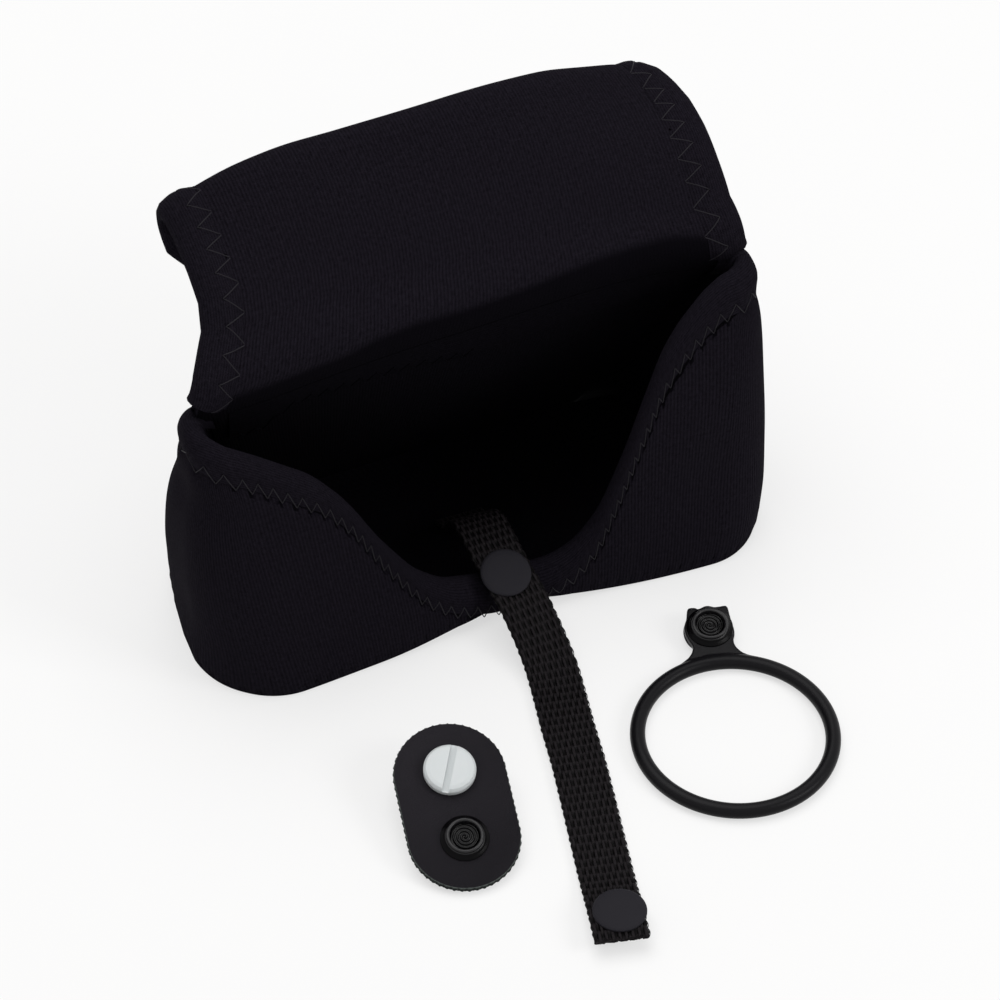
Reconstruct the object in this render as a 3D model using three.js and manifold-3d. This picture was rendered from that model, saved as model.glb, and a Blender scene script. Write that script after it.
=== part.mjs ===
// Soft neoprene case for a rangefinder camera, standing open with its flap rolled back,
// with its snap tether, leather tripod tab and rubber lens ring laid out in front of it.
// Millimetres. X runs along the case, -Y is its front, +Z is up from the table.
// The origin is under the middle of the floor panel.
import * as THREE from 'three';
import { mergeVertices } from 'three/addons/utils/BufferGeometryUtils.js';
import Module from 'manifold-3d';

// Cloth
const skin = 3; // neoprene sheet
const tape = 0.8; // knit binding tape
const gap = 0.3; // space kept between pieces that touch
const tapeCover = 6; // width of binding seen on each face

// Case body
const caseWidth = 150; // across the floor
const caseDepth = 66.5; // floor, front to back
const caseHeight = 82; // table to the flap's fold
const mouthDepth = 12; // front to back at the top corners
const mouthNarrowing = 5.5; // each side, floor to top
const mouthLean = 1.8; // how far the mouth sags to the left
const frontBulge = 2;
const frontSetBack = 11; // how far the front leans back by the top
const frontCornerRadius = 21; // at the floor
const backCornerRadius = 32;
const lipEndHeight = 77; // binding's height at the corners
const lipLowHeight = 11.4; // bottom of the front scoop
const lipTip = 3.2; // the scoop's right shoulder stands this much higher, its left lower
const lipCurlReach = 12; // the lip turns in over this height
const seamLift = 3.5; // the front seam clears the table by this at its middle
const seamPush = 2.5; // and is pushed in by this at its foot
const seamReach = 24;

// Flap, measured along the middle of its cloth from the fold
const flapHalfWidth = 66;
const flapShift = 3.4; // the flap is pulled this far to the right
const flapLean = 37.5; // degrees above level, seen from the side
const flapFirst = 16; // fold to the second crease
const flapSecond = 30; // second crease to the roll
const rollStep = 7.5; // each of the two short strips round the roll
const rollBend = 60; // degrees between neighbouring strips of the roll
const flapClose = 103; // the fold swings this far to shut the flap,
const creaseBend = 104.5; // the second crease this far,
const rollClose = 78; // and the first crease of the roll this far
const flapLast = 22.8;
const flapCornerRadius = 16;

// Tether
const webWidth = 12.7;
const webThickness = 1.3;
const webInside = 30.5; // sewn down this far behind its snap
const webFreeLength = 99.5; // front of the lip to the cut end, measured on the table
const webTurn = 13; // degrees the free end turns to the left

// Press snaps
const capRadius = 6.2;
const capThickness = 1.3;
const postRadius = 1.1;
const studRadius = 3.9; // flange of the stud, and the disc riveted behind it
const snapFlangeRadius = 5.7;
const snapCrownRadius = 4.5;
const snapHeight = 2;
const snapWell = 0.6; // floor of the hollow in a raised snap

// Leather tab with its tripod screw
const tabLength = 42;
const tabWidth = 26;
const tabThickness = 2;
const tabTilt = 14.5; // degrees, propped on the end of the screw
const tabTurn = -10.5;
const screwHeadRadius = 6.25;
const screwHeadHeight = 2.4;
const screwThreadRadius = 3.175; // quarter inch
const screwLength = 9.5; // under the head, three eighths of an inch
const screwFromEnd = 12.45;
const screwTurn = -22; // degrees its slot is turned
const snapFromEnd = 12.35;
const tabLeft = 36.15; // middle of the tab, from the middle of the case
const tabAhead = 53.35; // and in front of its floor

// Lens ring
const ringRadius = 23.1; // to the middle of the rubber
const ringTube = 1.85;
const ringTurn = -15.5;
const ringTabReach = 9.65; // ring to the middle of its snap
const ringTabSide = -0.7; // its snap sits this far to the left, as a minus
const ringTabTilt = 8;
const ringPlate = 1.8;
const ringRight = 34.15; // middle of the ring, from the middle of the case
const ringAhead = 55.6; // and in front of its floor

const colours = {
  neoprene: 0x17151a,
  lining: 0x0e0d10,
  binding: 0x1c1a20,
  webbing: 0x1d1917,
  cap: 0x2b2b2e,
  snap: 0x121214,
  leather: 0x2d2a30,
  nylon: 0xdfe6e2,
  rubber: 0x1a1a1c,
};

const rad = THREE.MathUtils.degToRad;
const vec = (x, y, z) => new THREE.Vector3(x, y, z);
const mix = THREE.MathUtils.lerp;
const wasm = await Module();
wasm.setup();

function manifoldOf(geometry) {
  const bare = geometry.clone();
  bare.deleteAttribute('normal');
  bare.deleteAttribute('uv');
  const merged = mergeVertices(bare, 1e-4);
  const mesh = new wasm.Mesh({
    numProp: 3,
    vertProperties: new Float32Array(merged.attributes.position.array),
    triVerts: new Uint32Array(merged.index.array),
  });
  return new wasm.Manifold(mesh);
}

function geometryOf(manifold) {
  const mesh = manifold.getMesh();
  const geometry = new THREE.BufferGeometry();
  geometry.setAttribute('position', new THREE.BufferAttribute(new Float32Array(mesh.vertProperties), 3));
  geometry.setIndex(new THREE.BufferAttribute(new Uint32Array(mesh.triVerts), 1));
  return geometry;
}

const cut = (geometry, tool) => geometryOf(manifoldOf(geometry).subtract(manifoldOf(tool)));
const join = (geometry, other) => geometryOf(manifoldOf(geometry).add(manifoldOf(other)));

function piece(name, geometry, colour, roughness = 0.9) {
  const material = new THREE.MeshStandardMaterial({ color: colour, roughness, metalness: 0 });
  const mesh = new THREE.Mesh(geometry, material);
  mesh.name = name;
  return mesh;
}

function group(position, rotation, pieces) {
  const holder = new THREE.Group();
  holder.position.copy(position);
  holder.rotation.copy(rotation);
  holder.add(...pieces);
  return holder;
}

// A sheet is a box with many faces, bent to shape. place gets three shares from 0 to 1.
function sheet(along, across, place) {
  const geometry = new THREE.BoxGeometry(1, 1, 1, along, across, 1);
  const points = geometry.attributes.position;
  for (let i = 0; i < points.count; i += 1) {
    const p = place(points.getX(i) + 0.5, points.getY(i) + 0.5, points.getZ(i) + 0.5);
    points.setXYZ(i, p.x, p.y, p.z);
  }
  return geometry;
}

// Case wall. At each height its outline is a rounded rectangle, front to back seam.
const halfWidth = (z) => caseWidth / 2 - mouthNarrowing * (z / caseHeight) ** 1.5;
const lean = (z) => -mouthLean * (z / caseHeight);
const backY = (z) => mix(caseDepth / 2, caseDepth / 2 - backLean, z / caseHeight);
const backLean = caseDepth - mouthDepth - frontSetBack;
function frontY(z) {
  const share = z / caseHeight;
  return mix(-caseDepth / 2, -caseDepth / 2 + frontSetBack, share) - frontBulge * Math.sin(Math.PI * share);
}
const frontRadius = (z) => mix(frontCornerRadius, mouthDepth * 0.5, z / caseHeight);
const backRadius = (z) => mix(backCornerRadius, mouthDepth * 0.43, z / caseHeight);

// Shares of the way round at which the outline changes from line to arc.
const turns = [0.46, 0.66, 0.74, 1];

// way runs from -1 at the left back seam, through 0 at the front middle, to 1 at the right.
function outline(way, z) {
  const side = Math.sign(way) || 1;
  const share = Math.abs(way);
  const a = halfWidth(z);
  const rf = frontRadius(z);
  const rb = backRadius(z);
  let x;
  let y;
  if (share <= turns[0]) {
    x = (share / turns[0]) * (a - rf);
    y = frontY(z);
  } else if (share <= turns[1]) {
    const angle = ((share - turns[0]) / (turns[1] - turns[0])) * (Math.PI / 2);
    x = a - rf + rf * Math.sin(angle);
    y = frontY(z) + rf - rf * Math.cos(angle);
  } else if (share <= turns[2]) {
    x = a;
    y = mix(frontY(z) + rf, backY(z) - rb, (share - turns[1]) / (turns[2] - turns[1]));
  } else {
    const angle = ((share - turns[2]) / (turns[3] - turns[2])) * (Math.PI / 2);
    x = a - rb + rb * Math.cos(angle);
    y = backY(z) - rb + rb * Math.sin(angle);
  }
  return { x: side * x + lean(z), y };
}

const middle = (x) => Math.exp(-((x / seamReach) ** 2));
const nominalX = (way) => outline(way, caseHeight / 2).x - lean(caseHeight / 2);

// The scoop's line: shares of the half width, and of the rise from its bottom to the corners.
const scoop = new THREE.SplineCurve([
  new THREE.Vector2(0, 0),
  new THREE.Vector2(0.17, 0.03),
  new THREE.Vector2(0.28, 0.14),
  new THREE.Vector2(0.4, 0.38),
  new THREE.Vector2(0.49, 0.58),
  new THREE.Vector2(0.59, 0.74),
  new THREE.Vector2(0.77, 0.91),
  new THREE.Vector2(1, 1),
]).getPoints(80);

function lipHeight(x) {
  const share = Math.min(Math.abs(x) / (halfWidth(caseHeight / 2) - 1), 1);
  const next = Math.max(scoop.findIndex((p) => p.x >= share), 1);
  const a = scoop[next - 1];
  const b = scoop[next];
  const rise = mix(a.y, b.y, (share - a.x) / (b.x - a.x));
  const shoulder = lipTip * Math.sin(Math.PI * THREE.MathUtils.clamp((share - 0.35) * 1.45, 0, 0.95));
  return mix(lipLowHeight, lipEndHeight, rise) + Math.sign(x) * shoulder;
}

// Outer face of the wall, at a height given as a drop below the lip.
function outerFace(way, drop) {
  const x = nominalX(way);
  const top = lipHeight(x);
  const z = top - drop;
  const p = outline(way, Math.max(z, 0));
  const curl = mix(0.35, 1.2, middle(x * 1.6)) * (1 - THREE.MathUtils.smoothstep(Math.abs(way), 0.5, 0.75));
  const inward = (curl * Math.max(0, lipCurlReach - drop) ** 2) / (2 * lipCurlReach);
  const push = seamPush * middle(x) * Math.min(drop / lipLowHeight, 1);
  return vec(p.x, p.y + inward + push, z);
}

function wallFrame(way, drop) {
  const step = 0.01;
  const face = outerFace(way, drop);
  const round = outerFace(Math.min(way + step, 1), drop).sub(outerFace(Math.max(way - step, -1), drop));
  const up = outerFace(way, Math.max(drop - 0.5, 0)).sub(outerFace(way, drop + 0.5)).normalize();
  const out = round.cross(up).normalize();
  return { face, up, out };
}

const wallFoot = (way) => seamLift * middle(nominalX(way));
const wallDrop = (way) => lipHeight(nominalX(way)) - wallFoot(way);
const tapeLeg = tapeCover - skin / 2 - gap - tape;

// Rows of the wall: even ones up to the binding, then two of the binding's own.
const wallRows = 6;
const bindingRows = 2;
function rowDrop(way, share) {
  const row = share * (wallRows + bindingRows);
  const high = wallDrop(way);
  if (row <= wallRows) return mix(high, tapeLeg, row / wallRows);
  return mix(tapeLeg, 0, (row - wallRows) / bindingRows);
}

const wallSteps = 44;
function frontPanel() {
  return sheet(wallSteps, wallRows + bindingRows, (u, v, w) => {
    const way = mix(-1, 1, u);
    const { face, out } = wallFrame(way, rowDrop(way, v));
    face.addScaledVector(out, -skin * (1 - w));
    if (v === 0) face.setZ(wallFoot(way));
    return face;
  });
}

// The tape goes up the outer face, over the edge and down the inner face.
const turnRows = 3;
function tapeSection(v) {
  const row = v * (2 * bindingRows + turnRows);
  const past = row - bindingRows;
  if (past <= 0) return { drop: tapeLeg * (-past / bindingRows), angle: 0 };
  if (past >= turnRows) return { drop: tapeLeg * ((past - turnRows) / bindingRows), angle: Math.PI };
  return { drop: 0, angle: (past / turnRows) * Math.PI };
}

function lipBinding() {
  return sheet(wallSteps, 2 * bindingRows + turnRows, (u, v, w) => {
    const way = mix(-1, 1, u);
    const { drop, angle } = tapeSection(v);
    const { face, up, out } = wallFrame(way, drop);
    const reach = skin / 2 + gap + tape * w;
    const centre = face.addScaledVector(out, -skin / 2);
    centre.addScaledVector(out, reach * Math.cos(angle));
    return centre.addScaledVector(up, reach * Math.sin(angle));
  });
}

// Back panel: a flat sheet that leans forward to the fold.
const backSlope = Math.atan2(caseHeight, -backLean);
const backUp = vec(0, Math.cos(backSlope), Math.sin(backSlope));
const backOut = vec(0, Math.sin(backSlope), -Math.cos(backSlope));
const foldPoint = vec(0, backY(caseHeight), caseHeight).addScaledVector(backOut, -skin / 2);
const foldBend = backSlope - rad(flapLean);

// Creases of the flap, fold first: how far each bends down and up from flat, open and shut.
const creases = [
  { down: foldBend, up: rad(flapClose) - foldBend },
  { down: 0, up: rad(creaseBend) },
  { down: rad(rollBend), up: rad(rollClose - rollBend) },
  { down: rad(rollBend), up: 0 },
  { down: rad(rollBend), up: 0 },
];

// Room that a crease needs on each side, at a height above the middle of the cloth.
function room(crease, h) {
  return gap / 2 + Math.abs(h) * Math.tan((h < 0 ? crease.down : crease.up) / 2);
}

function backPanel() {
  return sheet(12, 6, (u, v, w) => {
    const top = caseHeight - room(creases[0], mix(skin / 2, -skin / 2, w)) * Math.sin(backSlope);
    const z = mix(0, top, v);
    const half = halfWidth(z) - backRadius(z) - 2 * gap;
    const p = vec(mix(half, -half, u) + lean(z), backY(z), z);
    p.addScaledVector(backOut, -skin * (1 - w));
    if (v === 0) p.setZ(0);
    return p;
  });
}

// Tape sewn over the flap's seam, inside the mouth.
function mouthTape() {
  const low = caseHeight - 18;
  const high = caseHeight - 6;
  return sheet(12, 1, (u, v, w) => {
    const z = mix(low, high, v);
    const half = halfWidth(z) - backRadius(z) - 5;
    const p = vec(mix(half, -half, u) + lean(z), backY(z), z);
    return p.addScaledVector(backOut, -skin - gap - tape * (1 - w));
  });
}

// Floor: its edge stays inside the wall all the way round.
function floorPanel() {
  const inset = skin + gap + 0.6;
  const points = [];
  const steps = 64;
  for (let i = 0; i <= steps; i += 1) {
    const way = mix(-1, 1, i / steps);
    const { face, out } = wallFrame(way, wallDrop(way) - skin);
    face.addScaledVector(vec(out.x, out.y, 0).normalize(), -inset);
    points.push(new THREE.Vector2(face.x, face.y));
  }
  return new THREE.ExtrudeGeometry(new THREE.Shape(points), { depth: skin - 0.2, bevelEnabled: false });
}

// Flap outline, left and right edges at a length from the fold.
const flapLength = flapFirst + flapSecond + 2 * rollStep + flapLast;
const settle = (s) => 1 - THREE.MathUtils.smoothstep(s, -8, 14);
const flare = (s) => (halfWidth(caseHeight) - flapHalfWidth) * settle(s);
function flapEdge(side, s, inset) {
  const shift = mix(flapShift, -mouthLean, settle(s));
  const radius = flapCornerRadius - inset;
  const past = Math.max(0, s - (flapLength - flapCornerRadius));
  const round = radius - Math.sqrt(Math.max(0, radius ** 2 - past ** 2));
  return shift + side * (flapHalfWidth + flare(s) - inset - round);
}

const bindingHalf = skin / 2 + gap + tape;

// One strip of flap, flat, running along +Y from its crease, seen face up.
function flapPanel({ start, length, near, far, rows }) {
  return sheet(10, rows, (u, v, w) => {
    const h = mix(-skin / 2, skin / 2, w);
    const end = far ? room(far, h) : bindingHalf;
    const y = mix(room(near, h), length - end, v);
    const left = flapEdge(-1, start + y, bindingHalf);
    const right = flapEdge(1, start + y, bindingHalf);
    return vec(mix(left, right, u), y, h);
  });
}

// Tape round an edge: how far it reaches out from the edge's middle, and its height.
function turnOfTape(v, w) {
  const row = v * (2 + turnRows);
  const angle = THREE.MathUtils.clamp((row - 1) / turnRows, 0, 1) * Math.PI;
  const leg = tapeLeg * (row < 1 ? 1 - row : Math.max(0, row - 1 - turnRows));
  const reach = skin / 2 + gap + tape * w;
  return { out: reach * Math.sin(angle) - leg, h: reach * Math.cos(angle) };
}

// Binding round one side edge of a strip.
function sideBinding(side, { start, length, near, far, rows }) {
  return sheet(rows, 2 + turnRows, (u, v, w) => {
    const { out, h } = turnOfTape(v, w);
    const y = mix(room(near, h), length - room(far, h), side > 0 ? 1 - u : u);
    return vec(flapEdge(side, start + y, bindingHalf) + side * out, y, h);
  });
}

// Binding round the free end: down one side, round both corners and back up.
function endBinding(near) {
  const corner = flapCornerRadius - bindingHalf;
  const half = flapHalfWidth - bindingHalf;
  const foot = flapLast - bindingHalf;
  const cornerSteps = 6;
  const path = [{ p: vec(-half, 0, 0), m: vec(-1, 0, 0) }];
  for (let i = 0; i <= cornerSteps; i += 1) {
    const angle = (i / cornerSteps) * (Math.PI / 2);
    const m = vec(-Math.cos(angle), Math.sin(angle), 0);
    path.push({ p: vec(-half + corner, foot - corner, 0).addScaledVector(m, corner), m });
  }
  const mirrored = path.map(({ p, m }) => ({ p: vec(-p.x, p.y, 0), m: vec(-m.x, m.y, 0) }));
  const stations = [...path, ...mirrored.reverse()];
  const steps = stations.length - 1;
  return sheet(steps, 2 + turnRows, (u, v, w) => {
    const { p, m } = stations[Math.round(u * steps)];
    const { out, h } = turnOfTape(v, w);
    const start = u === 0 || u === 1 ? room(near, h) : 0;
    return vec(p.x + flapShift, p.y + start, h).addScaledVector(m, out);
  });
}

function flapStrips() {
  const lengths = [flapFirst, flapSecond, rollStep, rollStep, flapLast];
  const leans = [0, 0, 1, 2, 3].map((turn) => flapLean - turn * rollBend);
  const rows = [4, 4, 1, 1, 10];
  const at = foldPoint.clone();
  let start = 0;
  return lengths.map((length, i) => {
    const strip = { start, length, near: creases[i], far: creases[i + 1], rows: rows[i] };
    const number = i + 1;
    const parts = [piece(`flap_panel_${number}`, flapPanel(strip), colours.neoprene)];
    if (strip.far) {
      parts.push(piece(`flap_binding_left_${number}`, sideBinding(-1, strip), colours.binding));
      parts.push(piece(`flap_binding_right_${number}`, sideBinding(1, strip), colours.binding));
    } else {
      parts.push(piece('flap_end_binding', endBinding(strip.near), colours.binding));
    }
    const angle = rad(leans[i]);
    const holder = group(at, new THREE.Euler(angle, 0, 0), parts);
    at.add(vec(0, Math.cos(angle), Math.sin(angle)).multiplyScalar(length));
    start += length;
    return holder;
  });
}

// Snap stack on the lip: its axis tips towards the front.
const stackTilt = rad(20);
const stackFoot = wallFrame(0.0028, tapeLeg * 0.9).face;
const stackAxis = vec(0, -Math.sin(stackTilt), Math.cos(stackTilt));
const studFoot = bindingHalf - skin / 2 + gap + 0.4; // above the wall's outer face
const studFlange = 0.6;
const studHeight = 1.6;
const socketHeight = 1.1;
const socketRim = 4.9;
const webUnder = studFoot + studFlange + gap + socketHeight + 2 * gap;
const capUnder = webUnder + webThickness + gap;
const rivetTop = -skin * 0.6 - tape - 2 * gap; // the rivet's disc, pressed into the lip from inside
const rivetDisc = 0.8;
const stackPoint = (height) => stackFoot.clone().addScaledVector(stackAxis, height);

function lathe(profile, sides) {
  const points = profile.map(([r, z]) => new THREE.Vector2(r, z));
  return new THREE.LatheGeometry(points, sides).rotateX(Math.PI / 2);
}

// Cap with its post, the post pointing down through the cloth.
function capWithPost(reach) {
  const edge = 0.35;
  return lathe([
    [0, -reach],
    [postRadius, -reach],
    [postRadius, 0],
    [capRadius, 0],
    [capRadius, capThickness - edge - 0.25],
    [capRadius - edge, capThickness - 0.25],
    [0, capThickness],
  ], 30);
}

// Thin snap socket under the tether: a ring whose bore takes the stud.
function flatSocket() {
  const bore = 2.3;
  return lathe([
    [bore, 0],
    [socketRim - 0.3, 0],
    [socketRim, 0.3],
    [socketRim, socketHeight],
    [bore, socketHeight],
    [bore, 0],
  ], 24);
}

function stud() {
  const nub = 1.8;
  return lathe([
    [0, 0],
    [studRadius, 0],
    [studRadius, studFlange],
    [nub, studFlange],
    [nub, studHeight - 0.4],
    [nub - 0.4, studHeight],
    [0, studHeight],
  ], 24);
}

// The lip's stud is riveted through the lip from a disc inside it. The cloth is holed for the
// rivet and pressed in under the stud and over the disc.
function lipHole(geometry) {
  const long = 12;
  const rod = (radius) => new THREE.CylinderGeometry(radius, radius, long, 24);
  const hole = rod(postRadius + gap);
  const above = rod(socketRim + gap).translate(0, studFoot - gap + long / 2, 0);
  const below = rod(studRadius + gap).translate(0, rivetTop + gap - long / 2, 0);
  let shape = geometry;
  for (const tool of [hole, above, below]) {
    tool.rotateX(Math.PI / 2 + stackTilt).translate(stackFoot.x, stackFoot.y, stackFoot.z);
    shape = cut(shape, tool);
  }
  return shape;
}

// Tether path: from the floor, over the lip, down to the table and out to its end.
const webFloor = skin + gap + webThickness / 2;
const webTable = 0.4 + webThickness / 2;
const crest = stackPoint(webUnder + webThickness / 2);
const webDown = vec(0, -Math.cos(stackTilt), -Math.sin(stackTilt));
const hingeAway = 8.6;
const liftPivot = crest.clone().addScaledVector(webDown, hingeAway);
const landing = vec(crest.x + 1.9, liftPivot.y - 17, webTable + 0.4);
const tableStart = landing.clone().add(vec(0.9, 0, 0));
const freeWay = vec(-Math.sin(rad(webTurn)), -Math.cos(rad(webTurn)), 0);
const tipLift = 3.4;
const tipReach = webFreeLength - 17;
const foldReach = 33;
const capFromTip = 8.4;
const onTable = (reach, lift) => tableStart.clone().setZ(webTable + lift).addScaledVector(freeWay, reach);
const web = new THREE.CatmullRomCurve3([
  vec(crest.x + 0.6, crest.y + webInside, webFloor),
  vec(crest.x + 0.6, crest.y + webInside - 2, webFloor + 0.2),
  vec(crest.x + 0.5, crest.y + webInside * 0.83, mix(webFloor, crest.z, 0.3)),
  vec(crest.x + 0.4, crest.y + webInside * 0.73, mix(webFloor, crest.z, 0.82)),
  vec(crest.x + 0.2, crest.y + webInside * 0.57, crest.z + 2.2),
  vec(crest.x, crest.y + webInside * 0.28, crest.z + 2.6),
  crest,
  liftPivot,
  liftPivot.clone().lerp(landing, 0.5).add(vec(0, 0.5, -0.7)),
  landing,
  vec(landing.x - 2, landing.y - 12, webTable),
  onTable(foldReach, 0),
  onTable(tipReach - 2.4 * capFromTip, 0.1),
  onTable(tipReach - capFromTip, tipLift * 0.8),
  onTable(tipReach, tipLift),
]);

function webFrame(share) {
  const way = web.getTangentAt(share);
  const side = vec(0, 0, 1).cross(way).normalize();
  const up = way.clone().cross(side).normalize();
  return { at: web.getPointAt(share), way, side, up };
}

function webbing(from, to, steps) {
  return sheet(steps, 1, (u, v, w) => {
    const { at, side, up } = webFrame(mix(from, to, u));
    return at.addScaledVector(side, webWidth * (v - 0.5)).addScaledVector(up, webThickness * (w - 0.5));
  });
}

// Share of the tether's length at which it passes a given y: it only ever runs forward.
function shareAt(y) {
  let low = 0;
  let high = 1;
  for (let i = 0; i < 30; i += 1) {
    const half = (low + high) / 2;
    if (web.getPointAt(half).y > y) low = half;
    else high = half;
  }
  return low;
}

const webLength = web.getLength();
const liftShare = shareAt(liftPivot.y);
const foldShare = shareAt(landing.y) + foldReach / webLength;
const tipShare = 1 - capFromTip / webLength;
const tipFrame = webFrame(tipShare);
const tipTurn = new THREE.Euler().setFromRotationMatrix(
  new THREE.Matrix4().makeBasis(tipFrame.side.clone().negate(), tipFrame.way.clone().negate(), tipFrame.up),
);

function tether() {
  const slit = gap / webLength;
  const hole = postRadius + gap;
  const webHole = () => new THREE.CylinderGeometry(hole, hole, 3 * webThickness, 20).rotateX(Math.PI / 2);
  const lipTool = webHole().rotateX(stackTilt).translate(crest.x, crest.y, crest.z);
  const tipTool = webHole().applyMatrix4(new THREE.Matrix4().makeRotationFromEuler(tipTurn));
  tipTool.translate(tipFrame.at.x, tipFrame.at.y, tipFrame.at.z);
  return [
    piece('strap_inner', cut(webbing(0, liftShare - slit, 36), lipTool), colours.webbing),
    piece('strap_front', webbing(liftShare + slit, foldShare - slit, 22), colours.webbing),
    piece('strap_end', cut(webbing(foldShare + slit, 1, 16), tipTool), colours.webbing),
  ];
}

function snaps() {
  const capReach = webThickness + 2 * gap + socketHeight * 0.3;
  const still = new THREE.Euler(stackTilt, 0, 0);
  const rivet = lathe([
    [0, rivetTop - rivetDisc],
    [studRadius, rivetTop - rivetDisc],
    [studRadius, rivetTop],
    [postRadius, rivetTop],
    [postRadius, studFoot - gap],
    [0, studFoot - gap],
  ], 24);
  const socketFoot = studFoot + studFlange + gap;
  const stack = [
    group(stackPoint(capUnder), still, [
      piece('lip_snap_cap', capWithPost(capReach), colours.cap, 0.6),
    ]),
    group(stackPoint(socketFoot), still, [
      piece('lip_snap_socket', flatSocket(), colours.snap, 0.4),
    ]),
    group(stackPoint(studFoot), still, [
      piece('lip_snap_stud', stud(), colours.snap, 0.4),
    ]),
    group(stackPoint(0), still, [
      piece('lip_snap_rivet', rivet, colours.cap, 0.6),
    ]),
  ];
  const face = webThickness / 2 + gap;
  const tip = group(tipFrame.at, tipTurn, [
    piece('tip_snap_cap', capWithPost(2 * face - gap).translate(0, 0, face), colours.cap, 0.6),
    piece('tip_snap_stud', stud().rotateX(Math.PI).translate(0, 0, -face - 0.2), colours.snap, 0.4),
  ]);
  return [...stack, tip];
}

// Raised snap socket: flange, rolled crown and the crimped head of its post inside.
function raisedSocket() {
  return lathe([
    [0, 0],
    [snapFlangeRadius, 0],
    [snapFlangeRadius, 0.4],
    [snapCrownRadius + 0.4, 0.9],
    [snapCrownRadius, snapHeight - 0.5],
    [snapCrownRadius - 0.5, snapHeight],
    [snapCrownRadius - 1, snapHeight - 0.4],
    [snapCrownRadius - 1.2, snapWell],
    [2.3, snapWell],
    [2, snapWell + 0.5],
    [1, snapWell + 0.6],
    [0, snapWell + 0.3],
  ], 26);
}

function pill(length, width, depth, holes) {
  const half = length / 2 - width / 2;
  const shape = new THREE.Shape();
  shape.absarc(0, half, width / 2, 0, Math.PI);
  shape.absarc(0, -half, width / 2, Math.PI, 2 * Math.PI);
  for (const [y, radius] of holes) {
    const hole = new THREE.Path();
    hole.absarc(0, y, radius, 0, 2 * Math.PI, true);
    shape.holes.push(hole);
  }
  return new THREE.ExtrudeGeometry(shape, { depth, bevelEnabled: false, curveSegments: 20 });
}

function tripodScrew() {
  const h = screwHeadHeight;
  const body = lathe([
    [0, -screwLength],
    [screwThreadRadius - 0.6, -screwLength],
    [screwThreadRadius, -screwLength + 0.8],
    [screwThreadRadius, 0],
    [screwHeadRadius, 0],
    [screwHeadRadius, h - 1],
    [screwHeadRadius - 0.4, h - 0.35],
    [screwHeadRadius - 1.4, h],
    [0, h],
  ], 30);
  const slot = new THREE.BoxGeometry(1.7, 3 * screwHeadRadius, 2.4).translate(0, 0, h);
  return cut(body, slot);
}

function leatherTab() {
  const screwY = tabLength / 2 - screwFromEnd;
  const snapY = -tabLength / 2 + snapFromEnd;
  const hole = screwThreadRadius + gap;
  const leather = pill(tabLength, tabWidth, tabThickness, [[screwY, hole], [snapY, postRadius + gap]]);
  const screw = tripodScrew().rotateZ(rad(screwTurn)).translate(0, screwY, tabThickness + gap);
  const socket = raisedSocket().translate(0, snapY, tabThickness + gap);
  const backing = capWithPost(tabThickness + gap).rotateX(Math.PI).translate(0, snapY, -gap);
  const rise = gap + (tabLength / 2) * Math.sin(rad(tabTilt));
  const place = vec(-tabLeft, -caseDepth / 2 - tabAhead, rise);
  const turn = new THREE.Euler(rad(tabTilt), 0, rad(tabTurn), 'ZXY');
  return group(place, turn, [
    piece('leather_tab', leather, colours.leather, 0.7),
    piece('tripod_screw', screw, colours.nylon, 0.35),
    piece('tab_snap_socket', socket, colours.snap, 0.3),
    piece('tab_snap_cap', backing, colours.cap, 0.6),
  ]);
}

// Snap plate of the ring: a neck that flares into the ring, a lopsided head and two ears. Each
// point is its place across the plate and its distance beyond the ring's middle line.
const plateEdge = [
  [-9, -2.2], [-9, 0], [-7.2, 1.6], [-6.2, 2.8], [-5.5, 4.5], [-5.7, 5.4], [-6.3, 6.9], [-6.8, 8.6],
  [-6.8, 10.1], [-6.5, 11.4], [-5.8, 13], [-5.3, 15.4], [-4.8, 16], [-3.1, 15.9], [-2.7, 15.3],
  [-0.9, 16.1], [0.2, 16.1], [1.5, 15.5], [2.6, 15.6], [4.4, 15.7], [4.75, 14.9], [4.9, 11], [4.9, 8.9],
  [4.6, 6], [4.5, 4.7], [4.8, 3.5], [5.9, 1.6], [7.2, 0.3], [7.2, -1.4],
];

function ringPlateBody() {
  const shape = new THREE.Shape(plateEdge.map(([x, beyond]) => new THREE.Vector2(x, ringRadius + beyond)));
  const hole = new THREE.Path();
  hole.absarc(ringTabSide, ringRadius + ringTabReach, postRadius + gap, 0, 2 * Math.PI);
  shape.holes.push(hole);
  return new THREE.ExtrudeGeometry(shape, { depth: ringPlate, bevelEnabled: false, curveSegments: 10 });
}

function lensRing() {
  const profile = [];
  const sides = 10;
  for (let i = 0; i <= sides; i += 1) {
    const angle = (i / sides) * 2 * Math.PI;
    profile.push([ringRadius + ringTube * Math.cos(angle), ringTube * Math.sin(angle)]);
  }
  const tilt = rad(ringTabTilt);
  const pivot = (shape) => shape.translate(0, -ringRadius, 0).rotateX(tilt).translate(0, ringRadius, 0);
  const plate = pivot(ringPlateBody().translate(0, 0, -ringPlate / 2));
  const reach = ringRadius + ringTabReach;
  const rubber = join(lathe(profile, 56), plate);
  const socket = pivot(raisedSocket().translate(ringTabSide, reach, ringPlate / 2 + gap));
  const backing = capWithPost(ringPlate + gap).rotateX(Math.PI);
  backing.translate(ringTabSide, reach, -ringPlate / 2 - gap);
  const place = vec(ringRight, -caseDepth / 2 - ringAhead, ringTube);
  return group(place, new THREE.Euler(0, 0, rad(ringTurn)), [
    piece('lens_ring', rubber, colours.rubber, 0.5),
    piece('ring_snap_socket', socket, colours.snap, 0.3),
    piece('ring_snap_cap', pivot(backing), colours.cap, 0.6),
  ]);
}

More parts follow.
